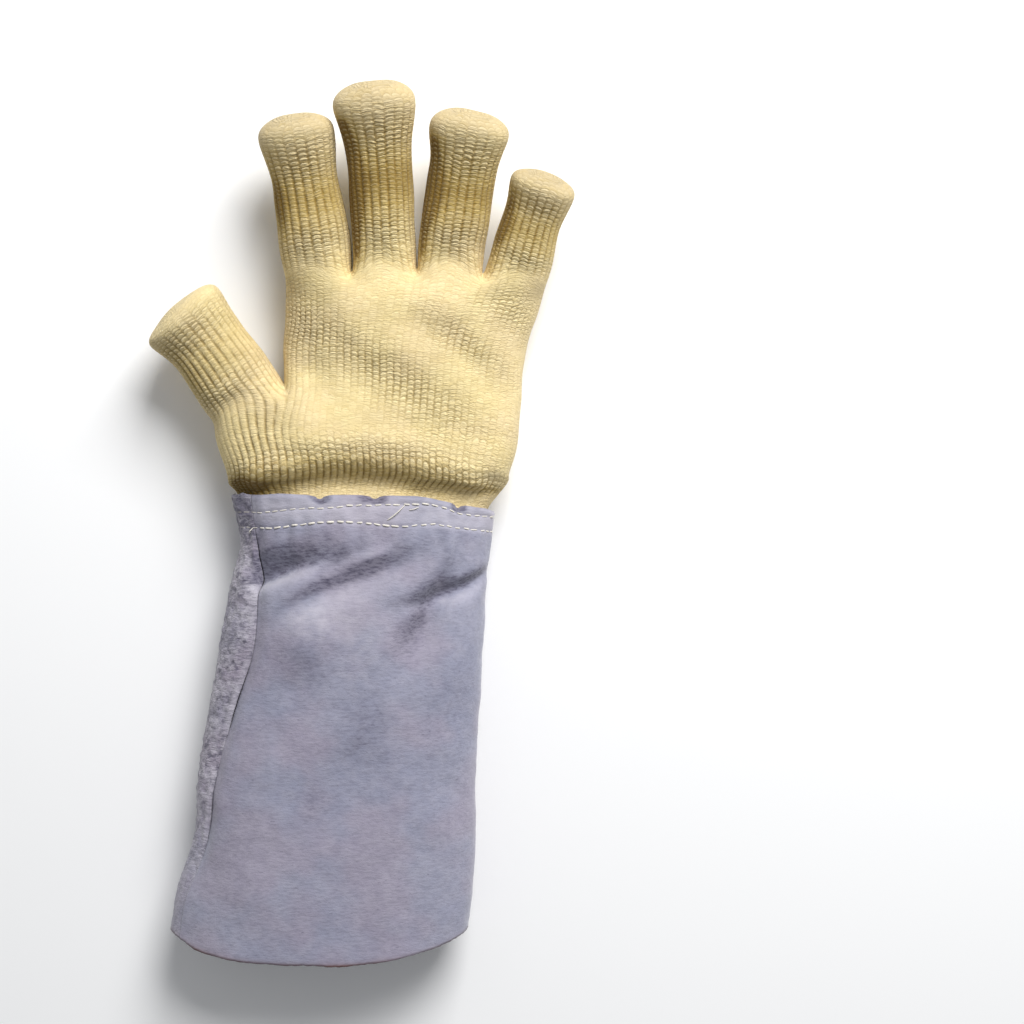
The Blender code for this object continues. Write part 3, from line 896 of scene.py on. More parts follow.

# %% [markdown]
# ### The roll over the cuff
# At the heel the knit swells over the cuff's edge in a thick roll. The roll ends in a wall that arches down to
# the leather, more ribbed than the palm because it is pulled in there, and in painted shade under the roll. The
# cage steps down on a flatter and higher arch, so the step is moved by sinking and lifting the skin.

# %% Sizes of the roll
# Two lines bound the wall, its foot and the roll's edge: each has its top as a share of PALM_LENGTH and its bend.
# The foot never lies lower than LOWEST_FOOT, and the wall is never narrower than LEAST_WALL.
ARCH_MIDDLE = -0.045
FOOT_LINE = (0.035, 0.60)
EDGE_LINE = (0.193, 0.42)
LOWEST_FOOT = -0.010
LEAST_WALL = 0.04
WALL_SHARE = 0.88
WALL_MIDDLE = 0.55

# Top, bend and width of the cage's own step, its height as a share of PALM_DEPTH, and the margins in which the
# moved step runs out above the cuff's edge and at the sides.
CAGE_STEP = (0.060, 0.14, 0.140)
STEP_HEIGHT = 0.165
STEP_MARGINS = (0.035, 0.42, 0.54)

# The roll's edge: half-width as a share of PALM_LENGTH, height as a share of PALM_DEPTH, and what its ribs and
# pads gain. The wall: half-width as a share of its width, and what its ribs and its shade gain.
ROLL_EDGE = (0.055, 0.010, 0.45, 0.60)
WALL_GAIN = (0.44, 0.95, 0.62)

# The corner where the wall meets the cuff on the thumb side gets a painted shadow where the knit tucks in: its
# place and half-sizes as shares of PALM_WIDTH and PALM_LENGTH, and how dark the painted shadow is.
CORNER_PAINTED_SHADOW = (-0.50, 0.030, 0.11, 0.060, 1.0)
print("the roll's wall is", round(1000 * (EDGE_LINE[0] - FOOT_LINE[0]) * WALL_SHARE * PALM_LENGTH, 1), "mm long")

# %% [markdown]
# ### Strength at one point
# A point takes the strengths of its region's table, then what the creased stretches and the roll add to them.

# %% Strength at one point
def within(stretch, across, up):
    """1 in the middle of a creased stretch, falling off softly to its ends and sides."""
    angle = math.radians(stretch.slant)
    away = (across - stretch.across, (up - stretch.up) * PALM_LENGTH / PALM_WIDTH)
    long = (away[0] * math.cos(angle) + away[1] * math.sin(angle)) / stretch.half_long
    wide = (away[1] * math.cos(angle) - away[0] * math.sin(angle)) / stretch.half_wide
    return np.exp(-(long**2) - wide**2)


def roll(across, up, face):
    """How much each point lies on the roll's edge and on its wall, and how far the skin is sunk there."""
    off_middle = (across - ARCH_MIDDLE) ** 2
    foot = np.maximum(FOOT_LINE[0] - FOOT_LINE[1] * off_middle, LOWEST_FOOT)
    edge = EDGE_LINE[0] - EDGE_LINE[1] * off_middle
    width = np.maximum(edge - foot, LEAST_WALL) * WALL_SHARE
    above, inner, outer = STEP_MARGINS
    in_cage = eased((up - CAGE_STEP[0] + CAGE_STEP[1] * off_middle) / CAGE_STEP[2])
    wanted = eased((up - foot) / width) * eased(up / above)
    moved = STEP_HEIGHT * face * (1 - eased((np.abs(across) - inner) / (outer - inner)))
    on_edge = face * bump_at(up, edge, ROLL_EDGE[0]) * eased(up / above)
    on_wall = face * bump_at(up, foot + width * WALL_MIDDLE, width * WALL_GAIN[0])
    return on_edge, on_wall, PALM_DEPTH * (moved * (in_cage - wanted) - ROLL_EDGE[1] * on_edge)


def stitch_strength(region, along, at):
    """The four strengths, and how far the skin is sunk, for points at a share of a region's length."""
    rows = DIGIT_STRENGTH if region in DIGITS else PALM_STRENGTH
    rib, pad, shade, worn = np.moveaxis(smooth_through(rows, along), -1, 0)
    worn = worn * TIP_DUST.get(region, 1.0)
    sunk = np.zeros(at.shape[:-1])
    face = 1 / (1 + np.exp(-(at[..., 2] / PALM_DEPTH - FACE_FROM) * FACE_SHARPNESS))
    across = at[..., 0] / PALM_WIDTH
    up = (at[..., 1] - WRIST_Y) / PALM_LENGTH
    for stretch in PALM_STRETCHES:
        share = face * within(stretch, across, up)
        rib = rib + stretch.rib * share
        pad = pad + stretch.pad * share
        sunk = sunk + stretch.depth * PALM_DEPTH * share
    on_edge, on_wall, moved = roll(across, up, face)
    if region in ("heel", "tucked"):
        rib = rib + WALL_GAIN[1] * on_wall + ROLL_EDGE[2] * on_edge
        pad = pad + ROLL_EDGE[3] * on_edge
        # Painted shadow in the thumb-side corner where the knit tucks into the cuff.
        middle, height, half_wide, half_high, darkness = CORNER_PAINTED_SHADOW
        corner_shadow = darkness * face * bump_at(across, middle, half_wide) * bump_at(up, height, half_high)
        # The wall's gain in shade is painted shade, as the wall lies under the roll and faces away from the lamp.
        shade = shade + WALL_GAIN[2] * on_wall + corner_shadow
    return [np.clip(value, 0, 1) for value in (rib, pad, shade, worn)], sunk + moved


palm_middle = np.array((0.0, WRIST_Y + PALM_LENGTH / 2, PALM_DEPTH))
print(STRENGTHS, "in the palm's middle:", np.round(stitch_strength("palm", 0.5, palm_middle)[0], 2))

# %% [markdown]
# ### The knit's soft unevenness
# A real glove has been worn and folded, so its rounds wander a little and its face is softly lumpy. Smooth noise
# with a fixed start gives both, the same on each run.

# %% Soft unevenness
LUMP_SIZE = 0.016
LUMP_HEIGHT = 0.0007
WANDER_SIZE = 0.011
WANDER_REACH = 0.00055
JITTER_SIZE = 0.0021
JITTER_REACH = 0.00016
DRIFT_SIZE = 0.008
DRIFT_ROUNDS = 0.45
STAGGER_ROUNDS = 0.9
GOLDEN_SHARE = 0.618


def clouds(at, size, seed):
    """Smooth noise from about -1 to 1 at each place."""
    flat = at.reshape(-1, 3) / size + np.array((seed, 2 * seed, 3 * seed))
    return np.array([noise.noise(Vector(p)) for p in flat]).reshape(at.shape[:-1])


def stagger(wale):
    """How far a whole-numbered rib's rounds are shifted along it."""
    return STAGGER_ROUNDS * (((wale * GOLDEN_SHARE) % 1 + (wale * wale * GOLDEN_SHARE) % 1) % 1 - 0.5)


print("shift of the first ribs in rounds:", stagger(np.arange(5.0)).round(2))

# %% [markdown]
# ### Laying the stitches
# Each patch becomes a small grid of points. A point's share of its rib and round says how far it stands out. The
# rounds arch: their middle lies nearer to the finger tips than their ends, which gives the small bows of terry
# loops. Ribs and rounds are numbered over the whole hand, so one patch goes on where its neighbour stops.

# %% Lay the stitches
SAMPLES_ACROSS = 12
SAMPLES_PER_COURSE = 3
RIB_HEIGHT = 0.00085
RIB_ROUNDNESS = 0.5
PAD_HEIGHT = 0.00030
PAD_LEAN = 1.8
PAD_ROUNDNESS = 0.6
ARCH_REACH = 0.00030
TUCKED_RELIEF = 0.5


def sampled(grid, across, along):
    """A patch's grid read at shares of its width and length, with straight lines between its points."""
    s = across * PATCH_STEPS
    t = along * PATCH_STEPS
    i = np.clip(s.astype(int), 0, PATCH_STEPS - 1)
    j = np.clip(t.astype(int), 0, PATCH_STEPS - 1)
    s = (s - i)[:, None, None]
    t = (t - j)[None, :, None]
    near = grid[np.ix_(i, j)] * (1 - s) + grid[np.ix_(i + 1, j)] * s
    far = grid[np.ix_(i, j + 1)] * (1 - s) + grid[np.ix_(i + 1, j + 1)] * s
    return near * (1 - t) + far * t


def stitch_marks(weave, across, along):
    """Rib number and round number of each point, counted in stitches."""
    if weave.region.startswith("tip"):
        inwards = 1 - np.maximum(across[:, None], 1 - along[None, :])
        wale = weave.wale + 2 * weave.wales * np.broadcast_to(across[:, None], inwards.shape)
        return wale, weave.course + inwards * weave.courses
    wale = weave.wale + weave.wales * across[:, None]
    course = weave.course + weave.courses * along[None, :]
    return np.broadcast_arrays(wale, course)


def share_up(weave, share):
    """How far up its digit or palm a share of a patch is."""
    return blend(weave.start, weave.end, share)


def round_a_digit(weave, wale, up, rib, pad, shade):
    """Ribs, pads and shade of a digit's patch, which change with the side that a point lies on."""
    way_round = wale / (8 * weave.wales)
    # Painted shade on the flank that faces the neighbouring digit, where that digit casts its shadow.
    flank_shade = FLANK_PAINTED_SHADE[weave.region] * bump_at(way_round, *FLANK)
    flank_shade = flank_shade * eased(up / FLANK_COMES_IN) * eased((FLANK_ENDS - up) / FLANK_RUNS_OUT)
    pad_width, rib_width, pad_left, rib_left = FACING
    middle = FACING_MIDDLE[weave.region]
    pad = pad * blend(pad_left, 1.0, bump_at(way_round, middle, pad_width))
    rib = rib * blend(rib_left, 1.0, bump_at(way_round, middle, rib_width))
    return rib, pad, np.clip(shade * SHADE_SHARE[weave.region] + flank_shade, 0, 1)


def laid_patch(number, weave, samples_across, samples_along):
    """Places of one patch's stitches, with their marks and strengths."""
    across = np.linspace(0, 1, samples_across + 1)
    along = np.linspace(0, 1, samples_along + 1)
    at = sampled(places[number], across, along)
    out = unit(sampled(directions[number], across, along))
    wale, course = stitch_marks(weave, across, along)
    up = share_up(weave, (course - weave.course) / weave.courses)
    (rib, pad, shade, worn), sunk = stitch_strength(weave.region.split()[-1], up, at)
    if weave.region.startswith("tip"):
        rib = np.zeros_like(rib)
    if weave.region in DIGITS:
        rib, pad, shade = round_a_digit(weave, wale, up, rib, pad, shade)
    off_rib = np.abs(np.sin(np.pi * wale)) ** RIB_ROUNDNESS
    course = course + DRIFT_ROUNDS * clouds(at, DRIFT_SIZE, seed=21)
    in_round = (course + stagger(np.floor(wale + 1e-6))) % 1
    bulge = np.sin(np.pi * in_round**PAD_LEAN) ** PAD_ROUNDNESS
    lift = RIB_HEIGHT * rib * (off_rib - 1) + PAD_HEIGHT * pad * (bulge - 1) * off_rib
    lift = lift + LUMP_HEIGHT * clouds(at, LUMP_SIZE, seed=5)
    if weave.region == "tucked":
        lift = lift * blend(TUCKED_RELIEF, 1.0, eased(up / STEP_MARGINS[0]))
    slide = ARCH_REACH * pad * off_rib * (1 - bulge) + WANDER_REACH * clouds(at, WANDER_SIZE, seed=9)
    slide = slide + JITTER_REACH * clouds(at, JITTER_SIZE, seed=3)
    laid = at + out * (lift - sunk)[..., None] + unit(np.gradient(at, axis=1)) * slide[..., None]
    return laid, np.stack([wale, course], -1), np.stack([rib, pad, shade, worn], -1)


print("rounds up the middle finger:", sum(DIGITS["middle"].courses) + CAP_COURSES)

# %% [markdown]
# ### One skin from many patches
# Neighbouring patches share their edge points by number, so the skin has no cracks. Where two patches give an
# edge point slightly different places, it takes their mean. The inner face of the knit is coarser, because only
# its mouth could ever be seen, and a rim closes the wall at the knit's end.

# %% Join the patches
LINING_STEPS = 4
RIM_QUADS = 2 * len(HEEL_COLUMNS) + 2


class Skin:
    """Points and faces of a mesh made of patches that share their edge points."""

    def __init__(self):
        self.count = 0
        self.edges = {}
        self.corners = {}

    def fresh(self, many):
        self.count += many
        return np.arange(self.count - many, self.count)

    def corner(self, number):
        if number not in self.corners:
            self.corners[number] = int(self.fresh(1)[0])
        return self.corners[number]

    def edge(self, first, last, steps):
        key = (min(first, last), max(first, last))
        if key not in self.edges:
            self.edges[key] = self.fresh(steps - 1)
        inner = self.edges[key] if first < last else self.edges[key][::-1]
        return np.concatenate([[self.corner(first)], inner, [self.corner(last)]])

    def patch(self, quad, samples_across, samples_along):
        """Point numbers of a patch: the quad's corners are near-left, far-left, far-right and near-right."""
        ids = np.empty((samples_across + 1, samples_along + 1), int)
        ids[1:-1, 1:-1] = self.fresh((samples_across - 1) * (samples_along - 1)).reshape(samples_across - 1, -1)
        ids[:, 0] = self.edge(quad[0], quad[3], samples_across)
        ids[:, -1] = self.edge(quad[1], quad[2], samples_across)
        ids[0, :] = self.edge(quad[0], quad[1], samples_along)
        ids[-1, :] = self.edge(quad[3], quad[2], samples_along)
        return ids


def cell_corners(grid):
    """The four corners of every cell of a grid, in their order round the cell."""
    return np.stack([grid[:-1, :-1], grid[:-1, 1:], grid[1:, 1:], grid[1:, :-1]], 2)


def grid_faces(ids):
    return cell_corners(ids).reshape(-1, 4)


def stitch_corners(marks):
    """Rib and round number at each face's corners, with the rounds shifted as on the face's own rib."""
    corners = cell_corners(marks)
    own_rib = np.floor(corners[..., 0].mean(-1, keepdims=True))
    corners[..., 1] += stagger(own_rib)
    return corners.reshape(-1, 4, 2)


def lay_knit():
    """The outer face: points with their strengths, faces, stitch marks, and point numbers along the open end."""
    skin = Skin()
    parts = []
    for number, (quad, weave) in enumerate(zip(cage.quads, cage.weaves)):
        on_tip = weave.region.startswith("tip")
        samples_along = SAMPLES_ACROSS if on_tip else weave.courses * SAMPLES_PER_COURSE
        laid, marks, strength = laid_patch(number, weave, SAMPLES_ACROSS, samples_along)
        parts.append((skin.patch(quad, SAMPLES_ACROSS, samples_along), laid, marks, strength))
    total = np.zeros((skin.count, 7))
    times = np.zeros((skin.count, 1))
    for ids, laid, marks, strength in parts:
        np.add.at(total, ids.ravel(), np.concatenate([laid, strength], -1).reshape(-1, 7))
        np.add.at(times, ids.ravel(), 1)
    faces = np.concatenate([grid_faces(ids) for ids, _, _, _ in parts])
    marks = np.concatenate([stitch_corners(marks) for _, _, marks, _ in parts])
    return total / times, faces, marks, [ids[:, 0] for ids, _, _, _ in parts[-RIM_QUADS:]]


def lay_lining():
    """The knit's inner face, coarser and a wall's thickness below its skin."""
    skin = Skin()
    parts = []
    share = np.linspace(0, 1, LINING_STEPS + 1)
    for number, (quad, weave) in enumerate(zip(cage.quads, cage.weaves)):
        at = sampled(places[number], share, share)
        out = unit(sampled(directions[number], share, share))
        along = share_up(weave, np.broadcast_to(share, at.shape[:2]))
        sunk = stitch_strength(weave.region.split()[-1], along, at)[1]
        parts.append((skin.patch(quad, LINING_STEPS, LINING_STEPS), at - out * (KNIT_THICKNESS + sunk)[..., None]))
    points = np.zeros((skin.count, 3))
    for ids, at in parts:
        points[ids.ravel()] = at.reshape(-1, 3)
    faces = np.concatenate([grid_faces(ids)[:, ::-1] for ids, _ in parts])
    return points, faces, [ids[:, 0] for ids, _ in parts[-RIM_QUADS:]]


def rim_faces(outer_rim, inner_rim):
    """Faces that close the wall where the knit ends: several fine edges of the skin meet one edge of the lining."""
    step = SAMPLES_ACROSS // LINING_STEPS
    faces = []
    for outer, inner in zip(outer_rim, inner_rim):
        for k in range(LINING_STEPS):
            faces.append([*outer[step * k : step * (k + 1) + 1].tolist(), int(inner[k + 1]), int(inner[k])])
    return faces


print("patches round the knit's open end:", RIM_QUADS)

# %% [markdown]
# ### The knit hand as one piece
# Outer face, inner face and rim go into one mesh. The strengths are kept on its points and the rib and round
# numbers on its face corners, where the finish reads them.

# %% The knit hand
KNIT_OFF_FLOOR = 0.0002


def new_piece(name, points, faces):
    mesh = bpy.data.meshes.new(name)
    mesh.from_pydata(points.tolist(), [], faces.tolist() if isinstance(faces, np.ndarray) else faces)
    mesh.shade_smooth()
    piece = bpy.data.objects.new(name, mesh)
    bpy.context.scene.collection.objects.link(piece)
    return piece


def point_values(piece, name, values):
    layer = piece.data.attributes.new(name, "FLOAT", "POINT")
    layer.data.foreach_set("value", values.astype(np.float32).ravel())


knit_points, knit_faces, knit_marks, skin_rim = lay_knit()
knit_points[:, 2] = np.maximum(knit_points[:, 2], KNIT_OFF_FLOOR)
lining_points, lining_faces, lining_rim = lay_lining()
lining_faces = lining_faces + len(knit_points)
rim = rim_faces(skin_rim, [ids + len(knit_points) for ids in lining_rim])
knit = new_piece(
    "terry_knit_hand",
    np.concatenate([knit_points[:, :3], lining_points]),
    knit_faces.tolist() + lining_faces.tolist() + rim,
)
for column, name in enumerate(STRENGTHS.split()):
    point_values(knit, name, np.concatenate([knit_points[:, 3 + column], np.zeros(len(lining_points))]))
stitch_layer = knit.data.uv_layers.new(name="stitches")
all_marks = np.zeros((len(knit.data.loops), 2), np.float32)
all_marks[: 4 * len(knit_faces)] = knit_marks.reshape(-1, 2)
stitch_layer.data.foreach_set("uv", all_marks.ravel())
knit.data.calc_loop_triangles()
print("knit:", len(knit.data.vertices), "points,", len(knit.data.loop_triangles), "triangles")
knit_area = sum(face.area for face in list(knit.data.polygons)[: len(knit_faces)])
print("knit area in square metres:", round(knit_area, 4))

# %% [markdown]
# ## Finish of the knit
# Terry knit in straw yellow. The mesh already has its ribs and rounds, and the finish adds what is too fine for
# it: painted shade in the slit under each loop and on the floor of each groove, a painted highlight on the top of
# each loop, small differences from stitch to stitch, and the hairy grain of spun yarn. All of it follows the rib
# and round numbers, so it stays in register with the relief.

# %% Finish of the knit
YARN_GRAIN = 0.0007
LOOP_BOW = 0.38
STRAW_LIGHT = (0.87, 0.720, 0.385)
# A painted highlight for the top of each loop, which faces the lamp.
STRAW_PAINTED_HIGHLIGHT = (0.91, 0.790, 0.500)
STRAW_MIDDLE = (0.51, 0.365, 0.115)
# Painted shade for the slits under the loops and the floors of the grooves.
STRAW_HOLLOW_SHADE = (0.25, 0.145, 0.020)
STRAW_ROSY = (0.85, 0.690, 0.400)
STRAW_DUSTY = (0.49, 0.400, 0.250)
# The straw of the darkest painted shade.
STRAW_SHADED = (0.18, 0.100, 0.012)


def knit_finish():
    finish = Finish("straw terry knit", 0.95, sheen=0.10)
    marks = finish.node("ShaderNodeUVMap", {"uv_map": "stitches"})
    wale = finish.node("ShaderNodeSeparateXYZ", {}, {"Vector": marks}, output=0)
    course = finish.node("ShaderNodeSeparateXYZ", {}, {"Vector": marks}, output=1)
    place = finish.node("ShaderNodeTexCoord", output="Object")
    rib = finish.attribute("rib")
    pad = finish.attribute("pad")

    off_middle = (wale.maths("FRACT") - 0.5).maths("ABSOLUTE") * 2
    arch = (1 - off_middle * off_middle) * LOOP_BOW
    wobble = (finish.speckle(place, 0.0030) - 0.5) * 0.35
    in_round = (course - arch + wobble).maths("FRACT")
    patchy = finish.range(finish.speckle(place, 0.004), 0.30, 0.60, 0.35, 1.0)
    # Painted shade: the slit under each loop and the floor of each groove are darkened.
    slit = finish.range(in_round, 0.40, 0.05) * finish.range(off_middle, 1.0, 0.60) * patchy
    # Painted highlight on the top of each loop, which faces the lamp.
    crest = finish.range(in_round, 0.50, 0.90) * finish.range(off_middle, 0.95, 0.55)
    groove = finish.range(off_middle, 0.45, 1.0) * patchy
    hollow_shade = (slit * pad * 0.95).maths("MAXIMUM", groove * rib * 0.85)

    stitch = finish.node("ShaderNodeCombineXYZ", {}, {0: wale.maths("FLOOR"), 1: (course - arch).maths("FLOOR")})
    chance = finish.node("ShaderNodeTexWhiteNoise", {"noise_dimensions": "2D"}, {"Vector": stitch})
    yarn = finish.speckle(place, YARN_GRAIN, detail=3.0, roughness=0.6)
    strands = finish.speckle(finish.node("ShaderNodeCombineXYZ", {}, {0: wale * 1.1, 1: course * 3.6}), 1.0)
    strands = finish.range(strands, 0.62, 0.40)
    shade = finish.attribute("shade")
    cloudy = finish.speckle(place, 0.030)

    # The middle straw takes random stitch and yarn differences and the painted shade; the darkest painted shade
    # goes browner.
    mottle_and_shade = chance * 0.22 + yarn * 0.22 + strands * shade * 0.30 + shade * 0.80
    finish.colour(
        STRAW_LIGHT,
        (finish.range(cloudy, 0.35, 0.65), STRAW_ROSY),
        (finish.attribute("worn"), STRAW_DUSTY),
        (mottle_and_shade.clipped(), STRAW_MIDDLE),
        (finish.range(shade, 0.65, 1.0) * 0.85, STRAW_SHADED),
        ((crest * pad * 0.65).clipped(), STRAW_PAINTED_HIGHLIGHT),
        ((hollow_shade * 0.9).clipped(), STRAW_HOLLOW_SHADE),
    )

    cushion = finish.range(in_round, 0.0, 0.8) * pad * 1.2 + (1 - groove) * rib * 0.6 + chance * pad * 0.3
    standing = (pad * 1.4 + rib * 0.5 + 0.35).clipped()
    finish.bump(cushion + (yarn * 0.35 - strands * 0.25) * standing, 0.0009)
    return finish.done()


knit.data.materials.append(knit_finish())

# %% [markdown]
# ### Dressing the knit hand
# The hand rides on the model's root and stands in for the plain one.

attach(knit, "root")
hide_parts("knit_hand")

# %% [markdown]
# ## The leather panels
# Two suede panels, seamed along the thumb side and the little-finger side, make the cuff. Each is a fine grid on
# the cuff's form, with small puckers where the stitches gather it and a raw cut hem. Solidify gives the wall its
# thickness inwards. The tables come first: where the seam opens and how dark the painted shade in its crease is,
# where the nap is stained and crushed and where the folds get painted shade and the bulges painted light, how the
# stitch rows run and where they dimple the edge.

# %% Tables of the leather
# How dark the painted shade in the crease of the thumb-side seam is along the cuff.
SEAM_SHADES = table(
    "along dark",
    (0.00, 0.0),
    (0.07, 0.1),
    (0.11, 0.8),
    (0.20, 0.9),
    (0.28, 0.3),
    (0.34, 0.5),
    (0.40, 1.0),
    (0.50, 0.9),
    (0.54, 0.0),
    (0.60, 0.3),
    (0.68, 1.0),
    (0.76, 0.6),
    (0.82, 0.0),
    (1.00, 0.0),
)

# Spots that darken or pale the nap: real stains and crushed nap, painted shade along the folds and painted light on
# the bulges of CUFF_DENTS. Columns: middle in degrees round the cuff and as a share of its length, half-sizes in
# the same units, slant in degrees per whole length, and darkness (negative is paler).
STAINS_AND_FOLD_SHADES = table(
    "turn along half_turn half_along slant dark",
    (164.0, 0.030, 17.0, 0.060, 0.0, 1.90),
    (152.0, 0.095, 7.0, 0.022, 0.0, 0.80),
    (166.0, 0.270, 16.0, 0.070, -200.0, 0.40),
    (130.0, 0.168, 12.0, 0.026, 450.0, 1.60),
    (114.0, 0.146, 8.0, 0.024, 500.0, 1.30),
    (103.0, 0.092, 2.5, 0.020, 0.0, 0.60),
    (95.0, 0.172, 10.0, 0.052, 300.0, 0.55),
    (87.3, 0.131, 4.0, 0.016, 200.0, -0.50),
    (36.0, 0.192, 12.0, 0.024, 560.0, 0.75),
    (53.0, 0.232, 8.0, 0.035, 250.0, 0.55),
    (62.0, 0.310, 6.0, 0.090, 100.0, 0.50),
    (101.0, 0.270, 14.0, 0.060, 0.0, -0.60),
    (84.0, 0.345, 12.0, 0.080, 60.0, -0.30),
    (40.0, 0.300, 9.0, 0.050, 0.0, -0.15),
    (80.5, 0.470, 7.0, 0.035, -60.0, 0.42),
    (83.5, 0.527, 7.0, 0.030, 0.0, 0.36),
    (72.0, 0.558, 7.0, 0.025, 0.0, 0.26),
    (95.0, 0.662, 7.0, 0.035, 40.0, 0.34),
)

# Small upright ripples beside the folds: middle, half-sizes and slant as for a stain, where one crest stands,
# degrees to the next, and height.
RIPPLES = table(
    "turn along half_turn half_along slant crest spacing height",
    (48.0, 0.105, 17.0, 0.035, 0.0, 60.0, 11.0, 0.00055),
)

# Two rows of stitches: degrees round the cuff, distances from its top edge, and radius of each row's thread. The
# thread swells where the stitches are slack.
STITCH_PATHS = table(
    "turn upper lower upper_radius lower_radius",
    (-90.0, 0.0060, 0.0140, 0.00028, 0.00032),
    (0.0, 0.0040, 0.0120, 0.00026, 0.00030),
    (20.0, 0.0040, 0.0122, 0.00028, 0.00030),
    (42.0, 0.0050, 0.0128, 0.00028, 0.00030),
    (60.0, 0.0030, 0.0124, 0.00040, 0.00034),
    (76.0, 0.0042, 0.0148, 0.00034, 0.00038),
    (92.0, 0.0052, 0.0132, 0.00038, 0.00056),
    (100.0, 0.0060, 0.0130, 0.00032, 0.00056),
    (110.0, 0.0065, 0.0138, 0.00026, 0.00042),
    (135.0, 0.0085, 0.0160, 0.00022, 0.00034),
    (146.0, 0.0086, 0.0160, 0.00016, 0.00020),
    (165.0, 0.0084, 0.0156, 0.00006, 0.00006),
    (190.0, 0.0080, 0.0150, 0.00006, 0.00006),
    (215.0, 0.0074, 0.0146, 0.00026, 0.00032),
    (270.0, 0.0060, 0.0140, 0.00028, 0.00032),
)

# Dimples of the top edge: degrees round the cuff, half-width in degrees, how far the edge dips, and their depth.
EDGE_DIMPLES = table(
    "turn half_turn dip depth",
    (104.0, 3.2, 0.0012, 0.0026),
    (85.0, 3.0, 0.0010, 0.0026),
    (45.0, 3.5, 0.0012, 0.0024),
    (150.0, 5.0, -0.0008, -0.0010),
    (122.0, 8.0, -0.0006, -0.0008),
    (66.0, 9.0, -0.0008, -0.0008),
    (24.0, 7.0, -0.0004, -0.0006),
    (230.0, 6.0, 0.0010, 0.0015),
    (290.0, 7.0, 0.0010, 0.0015),
)
print("stains:", len(STAINS_AND_FOLD_SHADES), "dimples of the top edge:", len(EDGE_DIMPLES))

# %% [markdown]
# ### The leather's fine relief
# A lifted nap, soft creases, the puckers that the stitches pull and the dents they leave are all small heights on
# the cuff's surface. Stitches and panels use the same point function, so the thread always lies on the suede.

# %% Fine relief
FINE_ROUGHNESS = 0.00012
NAP_SIZE = 0.0028
CREASE_HEIGHT = 0.0008
CREASE_SIZE = 0.020
SMALL_CREASE_SHARE = 0.35
SMALL_CREASE_SIZE = 0.008
PUCKER_HEIGHT = 0.0013
PUCKER_BAND = (0.014, 0.012)
PUCKER_SIZE = 0.0060
PUCKER_STRETCH = (1.0, 0.25, 1.0)
EDGE_ROUNDING = 0.0006
EDGE_ROUNDING_WIDTH = 0.0012
ROW_SINK = 0.00035
ROW_SINK_WIDTH = 0.0009
EDGE_DIMPLE_REACH = 0.0035
LEATHER_OFF_FLOOR = 0.0001


def fine_relief(turn, along, at, rough):
    """Small relief of the suede over the dented cuff."""
    reach = along * CUFF_LENGTH
    puckers = clouds(at * np.array(PUCKER_STRETCH), PUCKER_SIZE, seed=4)
    creases = clouds(at, CREASE_SIZE, seed=7) + SMALL_CREASE_SHARE * clouds(at, SMALL_CREASE_SIZE, seed=12)
    relief = PUCKER_HEIGHT * bump_at(reach, *PUCKER_BAND) * puckers + CREASE_HEIGHT * creases
    relief = relief + rough * clouds(at, NAP_SIZE, seed=15)
    relief = relief - EDGE_ROUNDING * bump_at(reach, 0, EDGE_ROUNDING_WIDTH)
    for spot in RIPPLES:
        waves = np.cos(2 * np.pi * (turn - spot.crest) / spot.spacing)
        relief = relief + spot.height * spot_at(turn, along, spot) * waves
    rows = smooth_through(STITCH_PATHS, turn)
    for row in range(2):
        relief = relief - ROW_SINK * bump_at(reach, rows[..., row], ROW_SINK_WIDTH)
    for dimple in EDGE_DIMPLES:
        spread = bump_at(turn % 360, dimple.turn, dimple.half_turn)
        relief = relief - dimple.depth * spread * bump_at(reach, 0, EDGE_DIMPLE_REACH)
    return relief


def edge_dip(turn, along):
    """How far the top edge's dimples move a point towards the hem."""
    dip = sum(dimple.dip * bump_at(turn % 360, dimple.turn, dimple.half_turn) for dimple in EDGE_DIMPLES)
    return dip * np.exp(-along * CUFF_LENGTH / EDGE_DIMPLE_REACH)


def leather_point(turn, along, lift=0.0, rough=FINE_ROUGHNESS):
    """A point of the finished suede, lifted off its face."""
    at = cuff_point(turn, along)
    turn = wrapped(turn)
    out = outward(turn, along)
    at = at + out * (fine_relief(turn, along, at, rough) + lift)[..., None]
    at[..., 1] -= edge_dip(turn, along)
    at[..., 2] = np.maximum(at[..., 2], LEATHER_OFF_FLOOR + np.maximum(lift, 0))
    return at


print("dip of the top edge at its deepest dimple in mm:", round(1000 * edge_dip(EDGE_DIMPLES[0].turn, 0.0), 2))

# %% [markdown]
# ### Colour follows form
# Suede is painted paler where a slope faces the lamp, on the bulging band along the top edge and on the seam's lip,
# and painted darker where folds, the seam's crease and the edge's dimples lie in shade. Real stains and crushed nap
# darken it too. So each panel stores four numbers at its points for the finish: how dark the nap is from stains,
# crushing and painted shade, how much painted light it has, how coarse it is and how near the cut hem.

# %% Shades of the leather
FULL_TILT = 0.34
LIT_TILT = 0.28
# The bulging band along the top edge gets painted light and a real mottle, the back panel's seam lip a painted
# highlight.
BAND_REACH = 0.007
BAND_PAINTED_LIGHT = 0.85
BAND_MOTTLE = 0.30
LIP_PAINTED_HIGHLIGHT = 0.55
SEAM_SHADE_WIDTH = 0.0010
PALE_SEAM_SHARE = 0.3
SEAM_LIP_WIDTH = 0.0022
# Painted shade in the dimples of the top edge: how dark, and the middle and half-width of its reach from the edge.
DIMPLE_PAINTED_SHADE = 4.0
DIMPLE_SHADE_REACH = (0.0014, 0.0018)
CUT_EDGE_REACH = 0.0010

